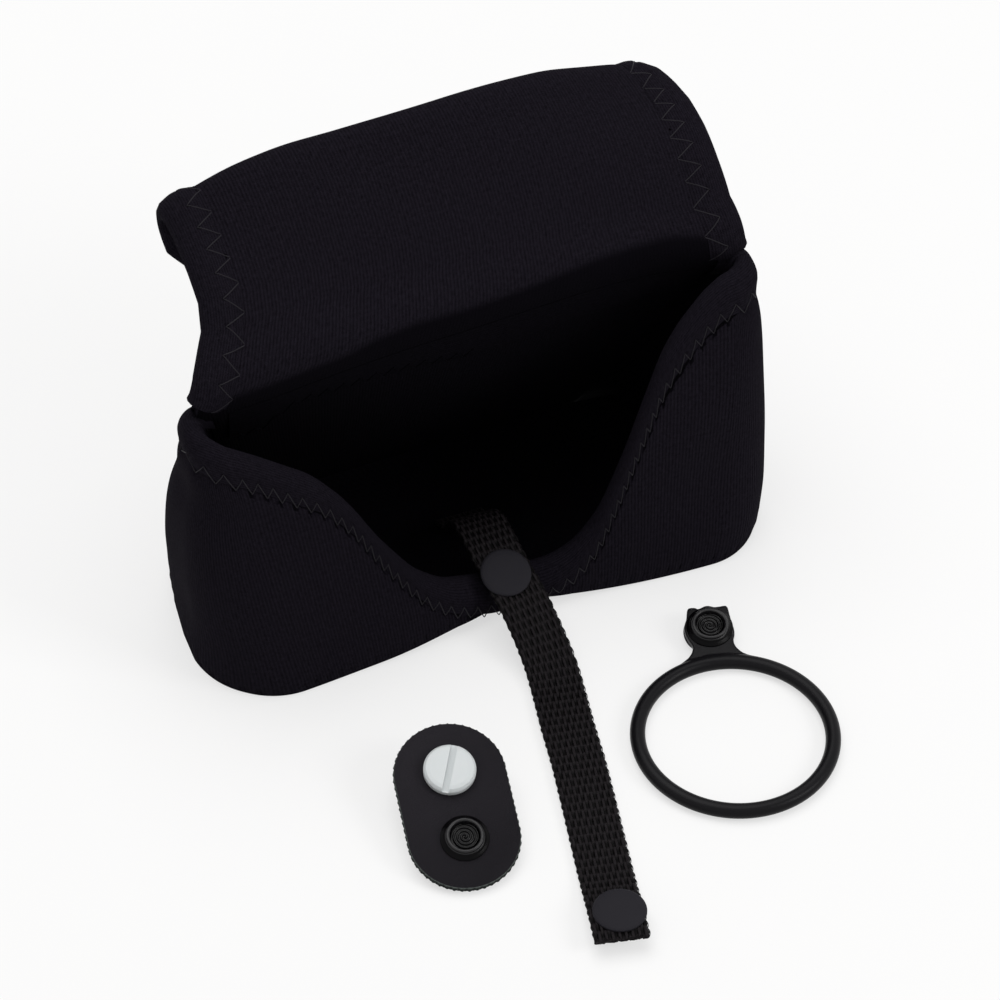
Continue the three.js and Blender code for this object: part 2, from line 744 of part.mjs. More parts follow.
const rangefinderCase = new THREE.Group();
rangefinderCase.add(
  piece('floor_panel', floorPanel(), colours.neoprene),
  piece('front_panel', lipHole(frontPanel()), colours.neoprene),
  piece('back_panel', backPanel(), colours.neoprene),
  piece('lip_binding', lipHole(lipBinding()), colours.binding),
  piece('mouth_tape', mouthTape(), colours.lining),
  ...flapStrips(),
  ...tether(),
  ...snaps(),
  leatherTab(),
  lensRing(),
);

export default rangefinderCase;
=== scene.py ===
"""Soft neoprene camera case with its tether, tripod tab and lens ring: the looks.

Everything stands in the part's own frame, in metres. Shapes are worked out in millimetres
and scaled once, where a mesh is written.
"""
import math

import bmesh
import bpy
import numpy as np
from mathutils import Matrix, Vector


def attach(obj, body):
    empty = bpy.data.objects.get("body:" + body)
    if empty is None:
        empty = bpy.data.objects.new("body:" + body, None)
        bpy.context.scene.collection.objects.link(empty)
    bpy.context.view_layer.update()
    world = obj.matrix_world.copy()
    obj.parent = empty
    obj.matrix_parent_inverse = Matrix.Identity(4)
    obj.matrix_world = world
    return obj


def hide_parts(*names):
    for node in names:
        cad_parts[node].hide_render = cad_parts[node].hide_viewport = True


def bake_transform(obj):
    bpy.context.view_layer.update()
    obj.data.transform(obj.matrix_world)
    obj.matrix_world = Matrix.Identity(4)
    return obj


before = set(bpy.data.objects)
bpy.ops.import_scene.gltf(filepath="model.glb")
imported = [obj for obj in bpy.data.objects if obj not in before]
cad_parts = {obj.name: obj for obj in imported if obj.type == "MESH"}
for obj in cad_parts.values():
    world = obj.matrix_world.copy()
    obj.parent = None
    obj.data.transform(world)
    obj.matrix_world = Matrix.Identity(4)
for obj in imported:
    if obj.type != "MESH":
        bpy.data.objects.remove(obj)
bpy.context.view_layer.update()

# Camera.
view_azimuth = math.radians(-23)
view_elevation = math.radians(46)
view_back = Vector((
    math.sin(view_azimuth) * math.cos(view_elevation),
    -math.cos(view_azimuth) * math.cos(view_elevation),
    math.sin(view_elevation),
))
view_right = Vector((math.cos(view_azimuth), math.sin(view_azimuth), 0))
view_up = view_back.cross(view_right)
camera_place = Matrix((view_right, view_up, view_back)).transposed().to_4x4()
camera_place.translation = Vector((0.0138, 0.0055, 0)) + view_back * 0.93
camera = bpy.data.objects.new("camera", bpy.data.cameras.new("camera"))
camera.data.lens = 133.2
camera.data.sensor_width = 36
camera.matrix_world = camera_place
bpy.context.collection.objects.link(camera)
bpy.context.scene.camera = camera

# Table and light. A plain white table in even pale surroundings, under a large soft box above
# and a little behind. The table is shown paler than it is lit, so that its shadows stay faint.


def shown(name, mesh):
    """A new object in the scene that shows a mesh."""
    piece = bpy.data.objects.new(name, mesh)
    bpy.context.collection.objects.link(piece)
    return piece


def surface(name, roughness, specular, colour=(0.8, 0.8, 0.8)):
    """A new material of one plain colour."""
    material = bpy.data.materials.new(name)
    material.use_nodes = True
    shader = material.node_tree.nodes["Principled BSDF"]
    shader.inputs["Base Color"].default_value = (*colour, 1)
    shader.inputs["Roughness"].default_value = roughness
    shader.inputs["Specular IOR Level"].default_value = specular
    return material


bm = bmesh.new()
bmesh.ops.create_grid(bm, x_segments=1, y_segments=1, size=3)
table_mesh = bpy.data.meshes.new("table")
bm.to_mesh(table_mesh)
bm.free()
table = shown("table", table_mesh)
table.location.z = -0.0002
white = surface("table_white", 0.9, 0, (0.95, 0.945, 0.94))
tree = white.node_tree
backdrop = tree.nodes.new("ShaderNodeEmission")
backdrop.inputs["Color"].default_value = (1, 1, 1, 1)


def seen_share(tree, share):
    """A share for the rays that show the background, and 0 for those that light the object."""
    paths = tree.nodes.new("ShaderNodeLightPath")
    value = paths.outputs["Is Camera Ray"]
    for ray in ("Is Glossy Ray", "Is Transmission Ray"):
        either = tree.nodes.new("ShaderNodeMath")
        either.operation = "MAXIMUM"
        tree.links.new(value, either.inputs[0])
        tree.links.new(paths.outputs[ray], either.inputs[1])
        value = either.outputs[0]
    part = tree.nodes.new("ShaderNodeMath")
    part.operation = "MULTIPLY"
    part.inputs[1].default_value = share
    tree.links.new(value, part.inputs[0])
    return part.outputs[0]


lift = tree.nodes.new("ShaderNodeMixShader")
tree.links.new(seen_share(tree, 0.62), lift.inputs["Fac"])
tree.links.new(tree.nodes["Principled BSDF"].outputs["BSDF"], lift.inputs[1])
tree.links.new(backdrop.outputs["Emission"], lift.inputs[2])
tree.links.new(lift.outputs["Shader"], tree.nodes["Material Output"].inputs["Surface"])
table_mesh.materials.append(white)


def soft_box(name, place, aim, size, power):
    """A square area lamp at a place, turned to face a point."""
    lamp = bpy.data.lights.new(name, "AREA")
    lamp.shape = "SQUARE"
    lamp.size = size
    lamp.energy = power
    holder = bpy.data.objects.new(name, lamp)
    holder.location = place
    holder.rotation_euler = (Vector(place) - Vector(aim)).to_track_quat("Z", "Y").to_euler()
    bpy.context.collection.objects.link(holder)


soft_box("box_above", (-0.05, 0.3, 1.3), (0, -0.03, 0), 1.2, 10.5)
soft_box("box_front", (0.8, -0.8, 0.8), (0, -0.03, 0.02), 0.5, 4.5)
world = bpy.data.worlds.new("surroundings")
world.use_nodes = True
bpy.context.scene.world = world
tree = world.node_tree
tree.nodes.clear()
strength = tree.nodes.new("ShaderNodeMix")
strength.inputs["A"].default_value = 0.42
strength.inputs["B"].default_value = 1
sky = tree.nodes.new("ShaderNodeBackground")
sky.inputs["Color"].default_value = (1, 1, 1, 1)
out = tree.nodes.new("ShaderNodeOutputWorld")
tree.links.new(seen_share(tree, 1.0), strength.inputs["Factor"])
tree.links.new(strength.outputs["Result"], sky.inputs["Strength"])
tree.links.new(sky.outputs["Background"], out.inputs["Surface"])
bpy.context.scene.view_settings.view_transform = "Standard"

# Front of the pouch. One sheet of 3 mm neoprene faced with a fine ribbed knit, cut with a deep
# scoop for the lens, steam shaped at its corners, and overlocked to the floor panel, whose
# seam puckers the foot of the wall every few millimetres.
MM = 0.001
SKIN = 3.0
HEIGHT = 82.0


def smooth(value, low, high):
    """Smooth step from 0 at low to 1 at high."""
    share = np.clip((value - low) / (high - low), 0, 1)
    return share * share * (3 - 2 * share)


def mix(a, b, share):
    """Between a and b by a share."""
    return a + (b - a) * share


def smoothed(values, steps):
    """Evens out a row of values over so many steps."""
    weights = np.hanning(steps)
    return np.convolve(np.pad(values, steps // 2, mode="edge"), weights / weights.sum(), mode="valid")


def run_length(points):
    """Distance from the first point to each one, along the line through them."""
    return np.concatenate([[0], np.cumsum(np.linalg.norm(np.diff(points, axis=0), axis=1))])


def unit(vectors):
    return vectors / (np.linalg.norm(vectors, axis=-1, keepdims=True) + 1e-9)


def half_width(z):
    """Half the case's width at a height: it narrows towards the mouth."""
    return 75 - 5.5 * np.clip(z / HEIGHT, 0, 2) ** 1.5


def lean(z):
    """How far the case leans to the left at a height, as a soft thing does."""
    return -1.8 * z / HEIGHT


def back_y(z):
    """Where the back stands at a height: it leans forward to the mouth."""
    return 33.25 - 43.5 * z / HEIGHT


def front_y(z):
    """Where the front stands at a height, bellied out a little half way up."""
    return -33.25 + 11 * z / HEIGHT - 2 * np.sin(np.pi * z / HEIGHT)


def outline(way, z):
    """Outline of the wall at a height: way runs from -1 at the left back seam to 1 at the right."""
    share = np.abs(way)
    a = half_width(z)
    rf = mix(21, 6, z / HEIGHT)
    rb = mix(32, 5.16, z / HEIGHT)
    front = front_y(z)
    back = back_y(z)
    turn = (share - 0.46) / 0.2 * np.pi / 2
    rear = (share - 0.74) / 0.26 * np.pi / 2
    zones = [share <= 0.46, share <= 0.66, share <= 0.74]
    x = np.select(zones, [share / 0.46 * (a - rf), a - rf + rf * np.sin(turn), a], a - rb + rb * np.cos(rear))
    side_y = mix(front + rf, back - rb, (share - 0.66) / 0.08)
    y = np.select(zones, [front, front + rf - rf * np.cos(turn), side_y], back - rb + rb * np.sin(rear))
    return np.sign(way) * x + lean(z), y


# Crest of the lip, measured in the photograph: across, and height.
lip_crest = np.array([
    (-76, 80), (-70, 78.5), (-67, 76.8), (-56, 69.3), (-43, 59.5), (-36, 50.4), (-30, 38.3), (-21, 23.7),
    (-13, 16.2), (-4, 12), (4, 11.4), (10, 12.2), (16, 15.6), (22, 22.3), (29, 37.9), (34, 50.2), (40, 63.3),
    (45, 70), (52.5, 77.2), (59, 81.2), (70, 82.5), (76, 82.8),
])
TAPE_REACH = 2.6
crest_x = np.linspace(-76, 76, 609)
crest_z = smoothed(np.interp(crest_x, lip_crest[:, 0], lip_crest[:, 1]), 33)
crest_slope = np.gradient(crest_z, crest_x)
crest_length = np.hypot(1, crest_slope)
edge_x = crest_x + TAPE_REACH * crest_slope / crest_length
edge_z = crest_z - TAPE_REACH / crest_length
lip_x = np.linspace(-74, 74, 593)
lip_z = np.interp(lip_x, edge_x, edge_z)


def lip_height(way):
    """Height of the sheet's cut edge, where the wall of that way meets it."""
    z = np.full_like(way, 40.0)
    for _ in range(12):
        z = mix(z, np.interp(outline(way, z)[0], lip_x, lip_z), 0.6)
    return z


way_table = np.linspace(-1, 1, 2001)
MIDDLE = 1000
lip_table = lip_height(way_table)
girth_table = run_length(np.stack(outline(way_table, np.full_like(way_table, 25.0)), 1))
girth_table -= girth_table[MIDDLE]


def near_middle(x, width):
    """1 at the middle, falling to nothing past a width."""
    return np.exp(-((x / width) ** 2))


# How far the two ends of the case sway to the right by height, and how far its left foot does by
# the way round the outline.
side_heights = [0, 5, 12, 20, 28, 35, 43, 51, 58.6, 66, 74, 81]
left_sway = [0.2, 0.8, 0.6, -0.1, -1, -1.4, -1.7, -1.5, -0.2, -1, 0.2, -1.2]
right_sway = [-1.6, -1.2, 0.2, 0.6, 0.8, 0.8, 0.9, 1.2, 1.6, 1.6, 0.6, 0.3]
foot_ways = [-0.9, -0.84, -0.8, -0.77, -0.74, -0.7, -0.65, -0.6, -0.55]
foot_shift = [0, 0, 0.7, 1.1, 0.5, -0.5, -0.9, -0.5, 0]
sway_z = np.arange(-8, 95)
sway_left = smoothed(np.interp(sway_z, side_heights, left_sway), 13)
sway_right = smoothed(np.interp(sway_z, side_heights, right_sway), 13)


def wall_face(way, drop):
    """Outer face of the wall, at a drop below its cut edge."""
    top = np.interp(way, way_table, lip_table)
    girth = np.interp(way, way_table, girth_table)
    z = top - drop
    foot = 3.5 * near_middle(girth, 24)
    low = np.maximum(z, 0)
    x, y = outline(way, low)
    sway = np.where(way < 0, np.interp(z, sway_z, sway_left), np.interp(z, sway_z, sway_right))
    x = x + sway * smooth(np.abs(way), 0.42, 0.6) * (1 - smooth(np.abs(way), 0.8, 1))
    x = x + np.interp(way, foot_ways, foot_shift) * (1 - smooth(z, 0, 16))
    ahead = 1.4 + 1.4 * smooth(way, 0.2, 0.5) + 0.8 * smooth(-way, 0.3, 0.5)
    y = y - ahead * (1 - smooth(z, 0, 30)) * (1 - smooth(np.abs(way), 0.58, 0.76))
    curl = mix(0.35, 1.2, near_middle(girth, 15)) * (1 - smooth(np.abs(way), 0.5, 0.75))
    y = y + curl * np.maximum(0, 12 - drop) ** 2 / 24
    y = y + 2.5 * near_middle(girth, 24) * np.minimum(drop / 11.4, 1)
    swell = 0.45 * np.sin(girth / 11.5 + z / 19) * np.sin(z / 13 + 1.1) + 0.25 * np.sin(girth / 5.1 - z / 8.5)
    front = 1 - smooth(np.abs(way), 0.55, 0.75)
    y = y + front * swell * smooth(drop, 8, 20) * smooth(z, 2, 12)
    tuck = 0.6 * (1 - smooth(z - foot, 0, 4.5)) ** 2
    x = x - np.sign(way) * tuck * smooth(np.abs(way), 0.45, 0.62)
    y = y + tuck * (1 - smooth(np.abs(way), 0.5, 0.72)) - tuck * smooth(np.abs(way), 0.78, 1)
    return np.stack([x, y, z], -1)


def wall_frame(way, drop):
    """A place on the wall's outer face, with its upward and outward directions."""
    step = 0.002
    face = wall_face(way, drop)
    round_way = wall_face(np.minimum(way + step, 1), drop) - wall_face(np.maximum(way - step, -1), drop)
    up = unit(wall_face(way, drop - 0.25) - wall_face(way, drop + 0.25))
    return face, up, unit(np.cross(round_way, up))


def lofted(name, along, around, place, chart, fill=True):
    """Bends a fine grid to shape: place turns shares along and around into millimetres."""
    bm = bmesh.new()
    bmesh.ops.create_grid(bm, x_segments=along, y_segments=around, size=0.5)
    mesh = bpy.data.meshes.new(name)
    bm.to_mesh(mesh)
    bm.free()
    flat = np.empty(len(mesh.vertices) * 3)
    mesh.vertices.foreach_get("co", flat)
    u, v = flat.reshape(-1, 3)[:, :2].T + 0.5
    mesh.vertices.foreach_set("co", (place(u, v) * MM).ravel())
    corners = np.empty(len(mesh.loops), int)
    mesh.loops.foreach_get("vertex_index", corners)
    marks = np.stack(chart(u, v), -1)[corners]
    mesh.uv_layers.new(name="cloth").data.foreach_set("uv", marks.astype(np.float32).ravel())
    bm = bmesh.new()
    bm.from_mesh(mesh)
    bmesh.ops.remove_doubles(bm, verts=bm.verts, dist=2e-6)
    if fill:
        bmesh.ops.holes_fill(bm, edges=[e for e in bm.edges if e.is_boundary], sides=0)
    bmesh.ops.recalc_face_normals(bm, faces=bm.faces)
    for face in bm.faces:
        face.smooth = True
    bm.to_mesh(mesh)
    bm.free()
    mesh.set_sharp_from_angle(angle=math.radians(50))
    return shown(name, mesh)


def adder(tree):
    """Short calls for adding shader nodes: links or constants go to the inputs in order."""
    def add(kind, *feeds, **settings):
        node = tree.nodes.new("ShaderNode" + kind)
        for key, value in settings.items():
            setattr(node, key, value)
        for socket, feed in zip([s for s in node.inputs if s.enabled], feeds):
            if isinstance(feed, bpy.types.NodeSocket):
                tree.links.new(feed, socket)
            elif feed is not None:
                socket.default_value = feed
        return next(s for s in node.outputs if s.enabled)
    return add


def effect(name, inputs, outputs):
    """An empty node group with named sockets: the group, its adder, what goes in and what comes out."""
    tree = bpy.data.node_groups.new(name, "ShaderNodeTree")
    for label, kind in inputs:
        tree.interface.new_socket(label, in_out="INPUT", socket_type=kind)
    for label in outputs:
        tree.interface.new_socket(label, in_out="OUTPUT", socket_type="NodeSocketFloat")
    goes_in = tree.nodes.new("NodeGroupInput").outputs
    comes_out = tree.nodes.new("NodeGroupOutput").inputs
    return tree, adder(tree), goes_in, comes_out


def waves(add, value, period):
    """0 to 1 and back once in each period."""
    turns = add("Math", value, period, operation="DIVIDE")
    return add("Math", turns, 0.5, operation="PINGPONG")


# Ribbed knit facing: columns of small V loops, with loose fibres over them.
knit, add, given, gives = effect(
    "knit", [("Vector", "NodeSocketVector"), ("Pitch", "NodeSocketFloat"), ("Course", "NodeSocketFloat")],
    ["Height", "Tone"],
)
place = given["Vector"]
wander = add("TexNoise", place, None, 0.25, 2.0)
across = add("SeparateXYZ", place).node.outputs
shift = add("Math", wander, 0.5, -0.25, operation="MULTIPLY_ADD")
column = add("Math", across["X"], shift, operation="ADD")
rib = waves(add, column, given["Pitch"])
ridge = add("Math", rib, 3.1416, operation="MULTIPLY")
ridge = add("Math", ridge, operation="SINE")
slant = add("Math", rib, given["Course"], across["Y"], operation="MULTIPLY_ADD")
loop = waves(add, slant, given["Course"])
loops = add("Math", loop, 0.5, operation="MULTIPLY")
fibre = add("TexNoise", place, None, 5.0, 3.0, 0.7)
fuzz = add("Math", fibre, 0.5, loops, operation="MULTIPLY_ADD")
height = add("Math", ridge, 0.8, fuzz, operation="MULTIPLY_ADD")
knit.links.new(height, gives["Height"])
# Tone: the ridge term darkens the grooves between the ribs as painted shade; the patch and speck noises are
# the yarn's own uneven tone.
patch = add("TexNoise", place, None, 0.06, 2.0)
tone = add("Math", ridge, 0.35, patch, operation="MULTIPLY_ADD")
speck = add("TexNoise", place, None, 4.5, 2.0, 0.7)
tone = add("Math", speck, 1.2, tone, operation="MULTIPLY_ADD")
knit.links.new(tone, gives["Tone"])


def dye(tree, share, dark, light):
    """Runs a material's colour from dark to light with a share."""
    colour = adder(tree)("Mix", data_type="RGBA").node
    colour.inputs["A"].default_value = (*dark, 1)
    colour.inputs["B"].default_value = (*light, 1)
    tree.links.new(share, colour.inputs["Factor"])
    tree.links.new(colour.outputs["Result"], tree.nodes["Principled BSDF"].inputs["Base Color"])


def emboss(tree, height, depth):
    """Gives a material's surface a fine relief, its depth in metres."""
    bump = tree.nodes.new("ShaderNodeBump")
    bump.inputs["Strength"].default_value = 1
    bump.inputs["Distance"].default_value = depth
    tree.links.new(height, bump.inputs["Height"])
    tree.links.new(bump.outputs["Normal"], tree.nodes["Principled BSDF"].inputs["Normal"])


def knit_cloth(name, dark, light, pitch, course, depth):
    """Knit cloth whose colour runs from dark to light with the knit's tone, which paints shade into the
    grooves between the ribs.
    """
    material = surface(name, 0.95, 0.02)
    tree = material.node_tree
    add = adder(tree)
    chart = add("UVMap", uv_map="cloth")
    weave = add("Group", chart, pitch, course, node_tree=knit).node
    for label, value in (("Pitch", pitch), ("Course", course)):
        weave.inputs[label].default_value = value
    tree.links.new(chart, weave.inputs["Vector"])
    dye(tree, add("MapRange", weave.outputs["Tone"], 0.85, 1.75, 0.0, 1.0), dark, light)
    emboss(tree, weave.outputs["Height"], depth)
    return material


def assemble(piece, material, body, slot, *nodes):
    """Finishes a piece and puts it on its body, in place of the nodes that it dresses."""
    piece.data.materials.append(material)
    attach(piece, body)
    if nodes:
        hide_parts(*nodes)


RIB_DARK = (0.003, 0.0025, 0.0039)
RIB_LIGHT = (0.0135, 0.0114, 0.0168)
neoprene = knit_cloth("neoprene_knit", RIB_DARK, RIB_LIGHT, 0.85, 0.6, 0.00014)
TAPE_WIDTH = 7.0
# A zigzag's period along the edge, and how far in from the edge its two rows of holes lie.
LIP_ZIGZAG = (4.2, 4.5, 8.0)
FLAP_ZIGZAG = (5.8, 2.8, 7.6)


def needle_dents(along, inward, seam):
    """0 to 1 where the zigzag's needle holes pull the cloth in."""
    period, near, far = seam
    shift = period / np.pi
    high = (shift * np.sin(np.pi * along / period)) ** 2 + (inward - near) ** 2
    low = (shift * np.cos(np.pi * along / period)) ** 2 + (inward - far) ** 2
    return np.exp(-high / 0.6) + np.exp(-low / 0.6)


lip_length_table = run_length(wall_face(way_table, np.zeros_like(way_table)))
lip_length_table -= lip_length_table[MIDDLE]
OUTER = 0.66  # the share of the wall's section that its outer face takes


def wall_place(u, v):
    way = mix(-1, 1, u)
    top = np.interp(way, way_table, lip_table)
    girth = np.interp(way, way_table, girth_table)
    foot = 3.5 * near_middle(girth, 24)
    high = top - foot
    rise = np.clip(v / OUTER, 0, 1)
    fall = np.clip((v - 0.7) / 0.26, 0, 1)
    drop = np.where(v < 0.68, high * (1 - rise) ** 1.25, high * fall)
    depth = np.interp(v, [OUTER, 0.7, 0.96, 1], [0, SKIN, SKIN, 0])
    face, _, out = wall_frame(way, drop)
    along = np.interp(way, way_table, lip_length_table)
    pull = 0.15 * np.exp(-((drop - 7.3) / 1.6) ** 2) + 0.55 * needle_dents(along, drop, LIP_ZIGZAG)
    z = top - drop - foot
    stitch = np.abs(np.sin(np.pi * girth / 3.35 + 0.5 * np.sin(girth / 9)))
    pucker = (1 - stitch) ** 1.2 * np.exp(-((z - 1.6) / 2.2) ** 2)
    relief = np.where(v < OUTER, pull + 0.5 * pucker, 0)
    face = face - out * (depth + relief)[:, None]
    face[:, 2] += 0.85 * (1 - stitch) ** 2 * np.exp(-(z / 1.5) ** 2) * (v < OUTER)
    return face


def wall_chart(u, v):
    way = mix(-1, 1, u)
    top = np.interp(way, way_table, lip_table)
    girth = np.interp(way, way_table, girth_table)
    rise = np.clip(v / OUTER, 0, 1)
    height = np.where(v < 0.68, top * (1 - (1 - rise) ** 1.25), top * (1.3 - v))
    return girth, height


# Darker copy of the knit for the pouch's inward faces, floor, mouth tape and its seam: painted interior
# shade.
lining = knit_cloth("shaded_inner_knit", (0.0012, 0.001, 0.0016), (0.0045, 0.0038, 0.0058), 0.85, 0.6, 0.0001)
front_wall = lofted("front_wall", 760, 100, wall_place, wall_chart)
assemble(front_wall, neoprene, "pouch", "neoprene", "front_panel")
# The wall's inward faces take the darker knit as painted shade.
front_wall.data.materials.append(lining)
for face in front_wall.data.polygons:
    if face.center.x * face.normal.x + (face.center.y + 0.008) * face.normal.y < 0:
        face.material_index = 1

# Lip binding. A knit tape, padded by the cloth's cut edge, turned over it and held down by a
# zigzag seam on both faces. Its ribs follow the edge.


def tape_section(v):
    """Tape round a cut edge: how far in from the edge, and the height over the sheet's middle."""
    outer = np.interp(v, [0, 0.2], [TAPE_WIDTH, 0])
    outer = np.where(v > 0.3, np.interp(v, [0.3, 0.5], [0, TAPE_WIDTH]), outer)
    inner = np.interp(v, [0.5, 0.7], [TAPE_WIDTH, 0])
    inner = np.where(v > 0.8, np.interp(v, [0.8, 1], [0, TAPE_WIDTH]), inner)
    turn = np.where(v < 0.5, np.interp(v, [0.2, 0.3], [0, np.pi]), np.interp(v, [0.7, 0.8], [np.pi, 0]))
    leg = np.where(v < 0.5, outer, inner)
    puff = np.interp(leg, [0, 1.2, 2.4, 3.6, 4.8, 6.2, 7], [1.0, 1.25, 1.35, 1.15, 0.75, 0.25, -0.2])
    reach = np.where(v < 0.5, SKIN / 2 + 0.12 + puff, SKIN / 2 + 0.12)
    inward = leg - reach * np.sin(turn)
    return inward, reach * np.cos(turn), leg


def tape_chart(along, v):
    """Ribs of the tape run along it, so the way across comes first."""
    return np.interp(v, [0, 0.2, 0.3, 0.5, 1], [0, 7, 15, 22, 44]), along


def lip_place(u, v):
    way = mix(-1, 1, u)
    inward, h, leg = tape_section(v)
    along = np.interp(way, way_table, lip_length_table)
    dent = 0.45 * needle_dents(along, leg, LIP_ZIGZAG) * (v < 0.5)
    face, up, out = wall_frame(way, leg)
    face = face + out * (h - np.sign(h) * dent - SKIN / 2)[:, None]
    return face + up * np.maximum(leg - inward, 0)[:, None]


def lip_chart(u, v):
    return tape_chart(np.interp(mix(-1, 1, u), way_table, lip_length_table), v)


binding = knit_cloth("binding_knit", (0.0034, 0.0028, 0.0044), (0.0135, 0.0115, 0.0168), 0.62, 0.5, 0.00012)
assemble(lofted("lip_tape", 760, 60, lip_place, lip_chart), binding, "pouch", "binding", "lip_binding")

# Lip stitching. Spun polyester thread in a zigzag over the tape's edge, one seam that shows on
# both faces, its needle holes drawn down into the cloth.


def thread(name, path, normals, radius, sides=6):
    """A thin round thread along a path."""
    ways = unit(np.gradient(path, axis=0))
    across = unit(np.cross(ways, normals))
    over = np.cross(across, ways)
    lengths = run_length(path)
    last = len(path) - 1

    def place(u, v):
        i = np.rint(u * last).astype(int)
        turn = v[:, None] * 2 * np.pi
        return path[i] + radius * (np.cos(turn) * over[i] + np.sin(turn) * across[i])

    def chart(u, v):
        return np.interp(u * last, np.arange(last + 1), lengths), v

    return lofted(name, last, sides, place, chart)


def zigzag(start, end, seam, steps=12):
    """Along and inward places of a zigzag seam, and its height over the cloth, down in its needle holes."""
    period, near, far = seam
    first = round(start / period * 2)
    last = round(end / period * 2)
    count = np.linspace(first, last, (last - first) * steps + 1)
    inward = mix(near, far, np.abs((count + 1) % 2 - 1))
    height = np.interp(inward, [2.4, 3.6, 4.8, 6.2, 7], [1.35, 1.15, 0.75, 0.25, 0])
    return count * period / 2, inward, height + 0.3 * np.sqrt(np.abs(np.sin(np.pi * count))) - 0.19


thread_black = surface("thread_black", 0.6, 0.1, (0.0155, 0.014, 0.0175))
along, inward, lift = zigzag(lip_length_table[0] + 3, lip_length_table[-1] - 3, LIP_ZIGZAG)
way = np.interp(along, lip_length_table, way_table)
for side, label in ((1, "outer"), (-1, "inner")):
    face, _, out = wall_frame(way, inward)
    height = (SKIN / 2 + lift) * side - SKIN / 2
    seam = thread(f"lip_seam_{label}", face + out * height[:, None], side * out, 0.13)
    assemble(seam, thread_black, "pouch", "binding")

# The cloth of the back and the flap. One sheet runs up the back, over a soft fold at the mouth
# and on as the flap, which leans back, droops at its ends and rolls under at its crest.
fold_y = -11.58
fold_z = 81.3
ROW = 0.25
COLUMN = 2.0
cloth_s = np.arange(-96, 86.01, ROW)
cloth_x = np.arange(-78, 78.1, COLUMN)
S = np.repeat(cloth_s[:, None], len(cloth_x), axis=1)
across_at = [-66, -56, -44, -30, -12, 6, 22, 36, 48, 58, 66]
EVEN = 9
droop = np.interp(cloth_x, across_at, [23.6, 16.6, 8.7, 3, 0.3, 0.2, 3, 9.3, 18.4, 26.8, 38.4])
droop = smoothed(droop, EVEN)
roll = np.interp(cloth_x, across_at, [42.1, 43.3, 44.9, 46.1, 46.3, 46.2, 47, 48.2, 48.2, 48.6, 47.8])
roll = smoothed(roll, EVEN)
heading = 117.9 - 80.4 * smooth(S, -6, 12) - droop * smooth(S, 9, 43)
heading -= (180 - droop) * smooth(S, roll, roll + 16)
heading = np.radians(heading)
cloth_y = np.cumsum(np.cos(heading), axis=0) * ROW
cloth_z = np.cumsum(np.sin(heading), axis=0) * ROW
start = int(round(-cloth_s[0] / ROW))
cloth_y += fold_y - cloth_y[start]
cloth_z += fold_z - cloth_z[start]
bow_at = [-70, -60, -50, -40, -28, -14, 0, 13, 29, 38, 50, 58.7, 64, 70]
bow_back = np.interp(cloth_x, bow_at, [-0.3, -0.3, 0, 0.6, 1.2, 1.7, 1.9, 2.4, 2.9, 3, 2.6, 0.8, 0, 0])
bow_up = np.interp(cloth_x, bow_at, [-0.2, -0.2, 0.2, 0.8, 1.4, 1.9, 2, 2.2, 2.4, 2.3, 1.8, 0.5, 0, 0])
reach = np.where(S > 0, np.maximum(1 - S / 42, 0) ** 2, np.exp(-((S / 26) ** 2)))
cloth_y += smoothed(bow_back, EVEN) * reach
cloth_z += smoothed(bow_up, EVEN) * reach


def cloth(x, s, h):
    """A place in the sheet: across, along from the fold, and height over its middle.

    Past the fold the flap settles back and down, and spreads by a hundredth.
    """
    i = np.clip((s - cloth_s[0]) / ROW, 0, len(cloth_s) - 1.001)
    j = np.clip((x - cloth_x[0]) / COLUMN, 0, len(cloth_x) - 1.001)
    i0 = i.astype(int)
    j0 = j.astype(int)
    fi = i - i0
    fj = j - j0

    def at(table):
        return (table[i0, j0] * (1 - fi) * (1 - fj) + table[i0 + 1, j0] * fi * (1 - fj)
                + table[i0, j0 + 1] * (1 - fi) * fj + table[i0 + 1, j0 + 1] * fi * fj)

    angle = at(heading)
    swell = 0.35 * np.sin(x / 9 + s / 17) * np.sin(s / 11 + 0.4) * smooth(s, 3, 12)
    settle = smooth(s, -2, 14)
    y = at(cloth_y) - np.sin(angle) * (h + swell) + 2.56 * settle
    z = at(cloth_z) + np.cos(angle) * (h + swell) - 2.12 * settle
    return np.stack([x * (1 + 0.01 * settle) + 1.08 * settle, y, z], -1)


def sheet_section(v, rows):
    """Closed section of a sheet with its own rows: up one face and down the other."""
    row = np.rint(v * (2 * rows + 2))
    length = np.where(row <= rows, row / rows, np.clip((2 * rows + 1 - row) / rows, 0, 1))
    return length, np.where((row <= rows) | (row > 2 * rows + 1), 0.5, -0.5) * SKIN


# Back panel. The sheet's lower part, of the same 3 mm neoprene, sewn to the wall along both back
# corners and to the floor.
BACK_TOP = -8.0
BACK_FOOT = -91.9
BACK_ROWS = 80
BACK_RISE = 0.884  # height gained for each millimetre up the leaning panel


def back_half(s):
    """Half the panel's width at a place along the sheet."""
    z = np.clip(fold_z + s * BACK_RISE, 0, HEIGHT)
    return half_width(z) - mix(32, 5.16, z / HEIGHT)


def back_place(u, v):
    length, h = sheet_section(v, BACK_ROWS)
    s = mix(BACK_FOOT, BACK_TOP, length)
    half = back_half(s) + 1.2
    x = mix(-half, half, u)
    edge = (half - np.abs(x)) / 1.6
    h = h * (1 - 0.35 * np.exp(-edge ** 2))
    return cloth(x + lean(fold_z + s * BACK_RISE), s, h)


def sheet_chart(low, high, rows):
    """Lays a length of the sheet flat, its ribs along it."""
    return lambda u, v: ((u - 0.5) * 128, mix(low, high, sheet_section(v, rows)[0]))


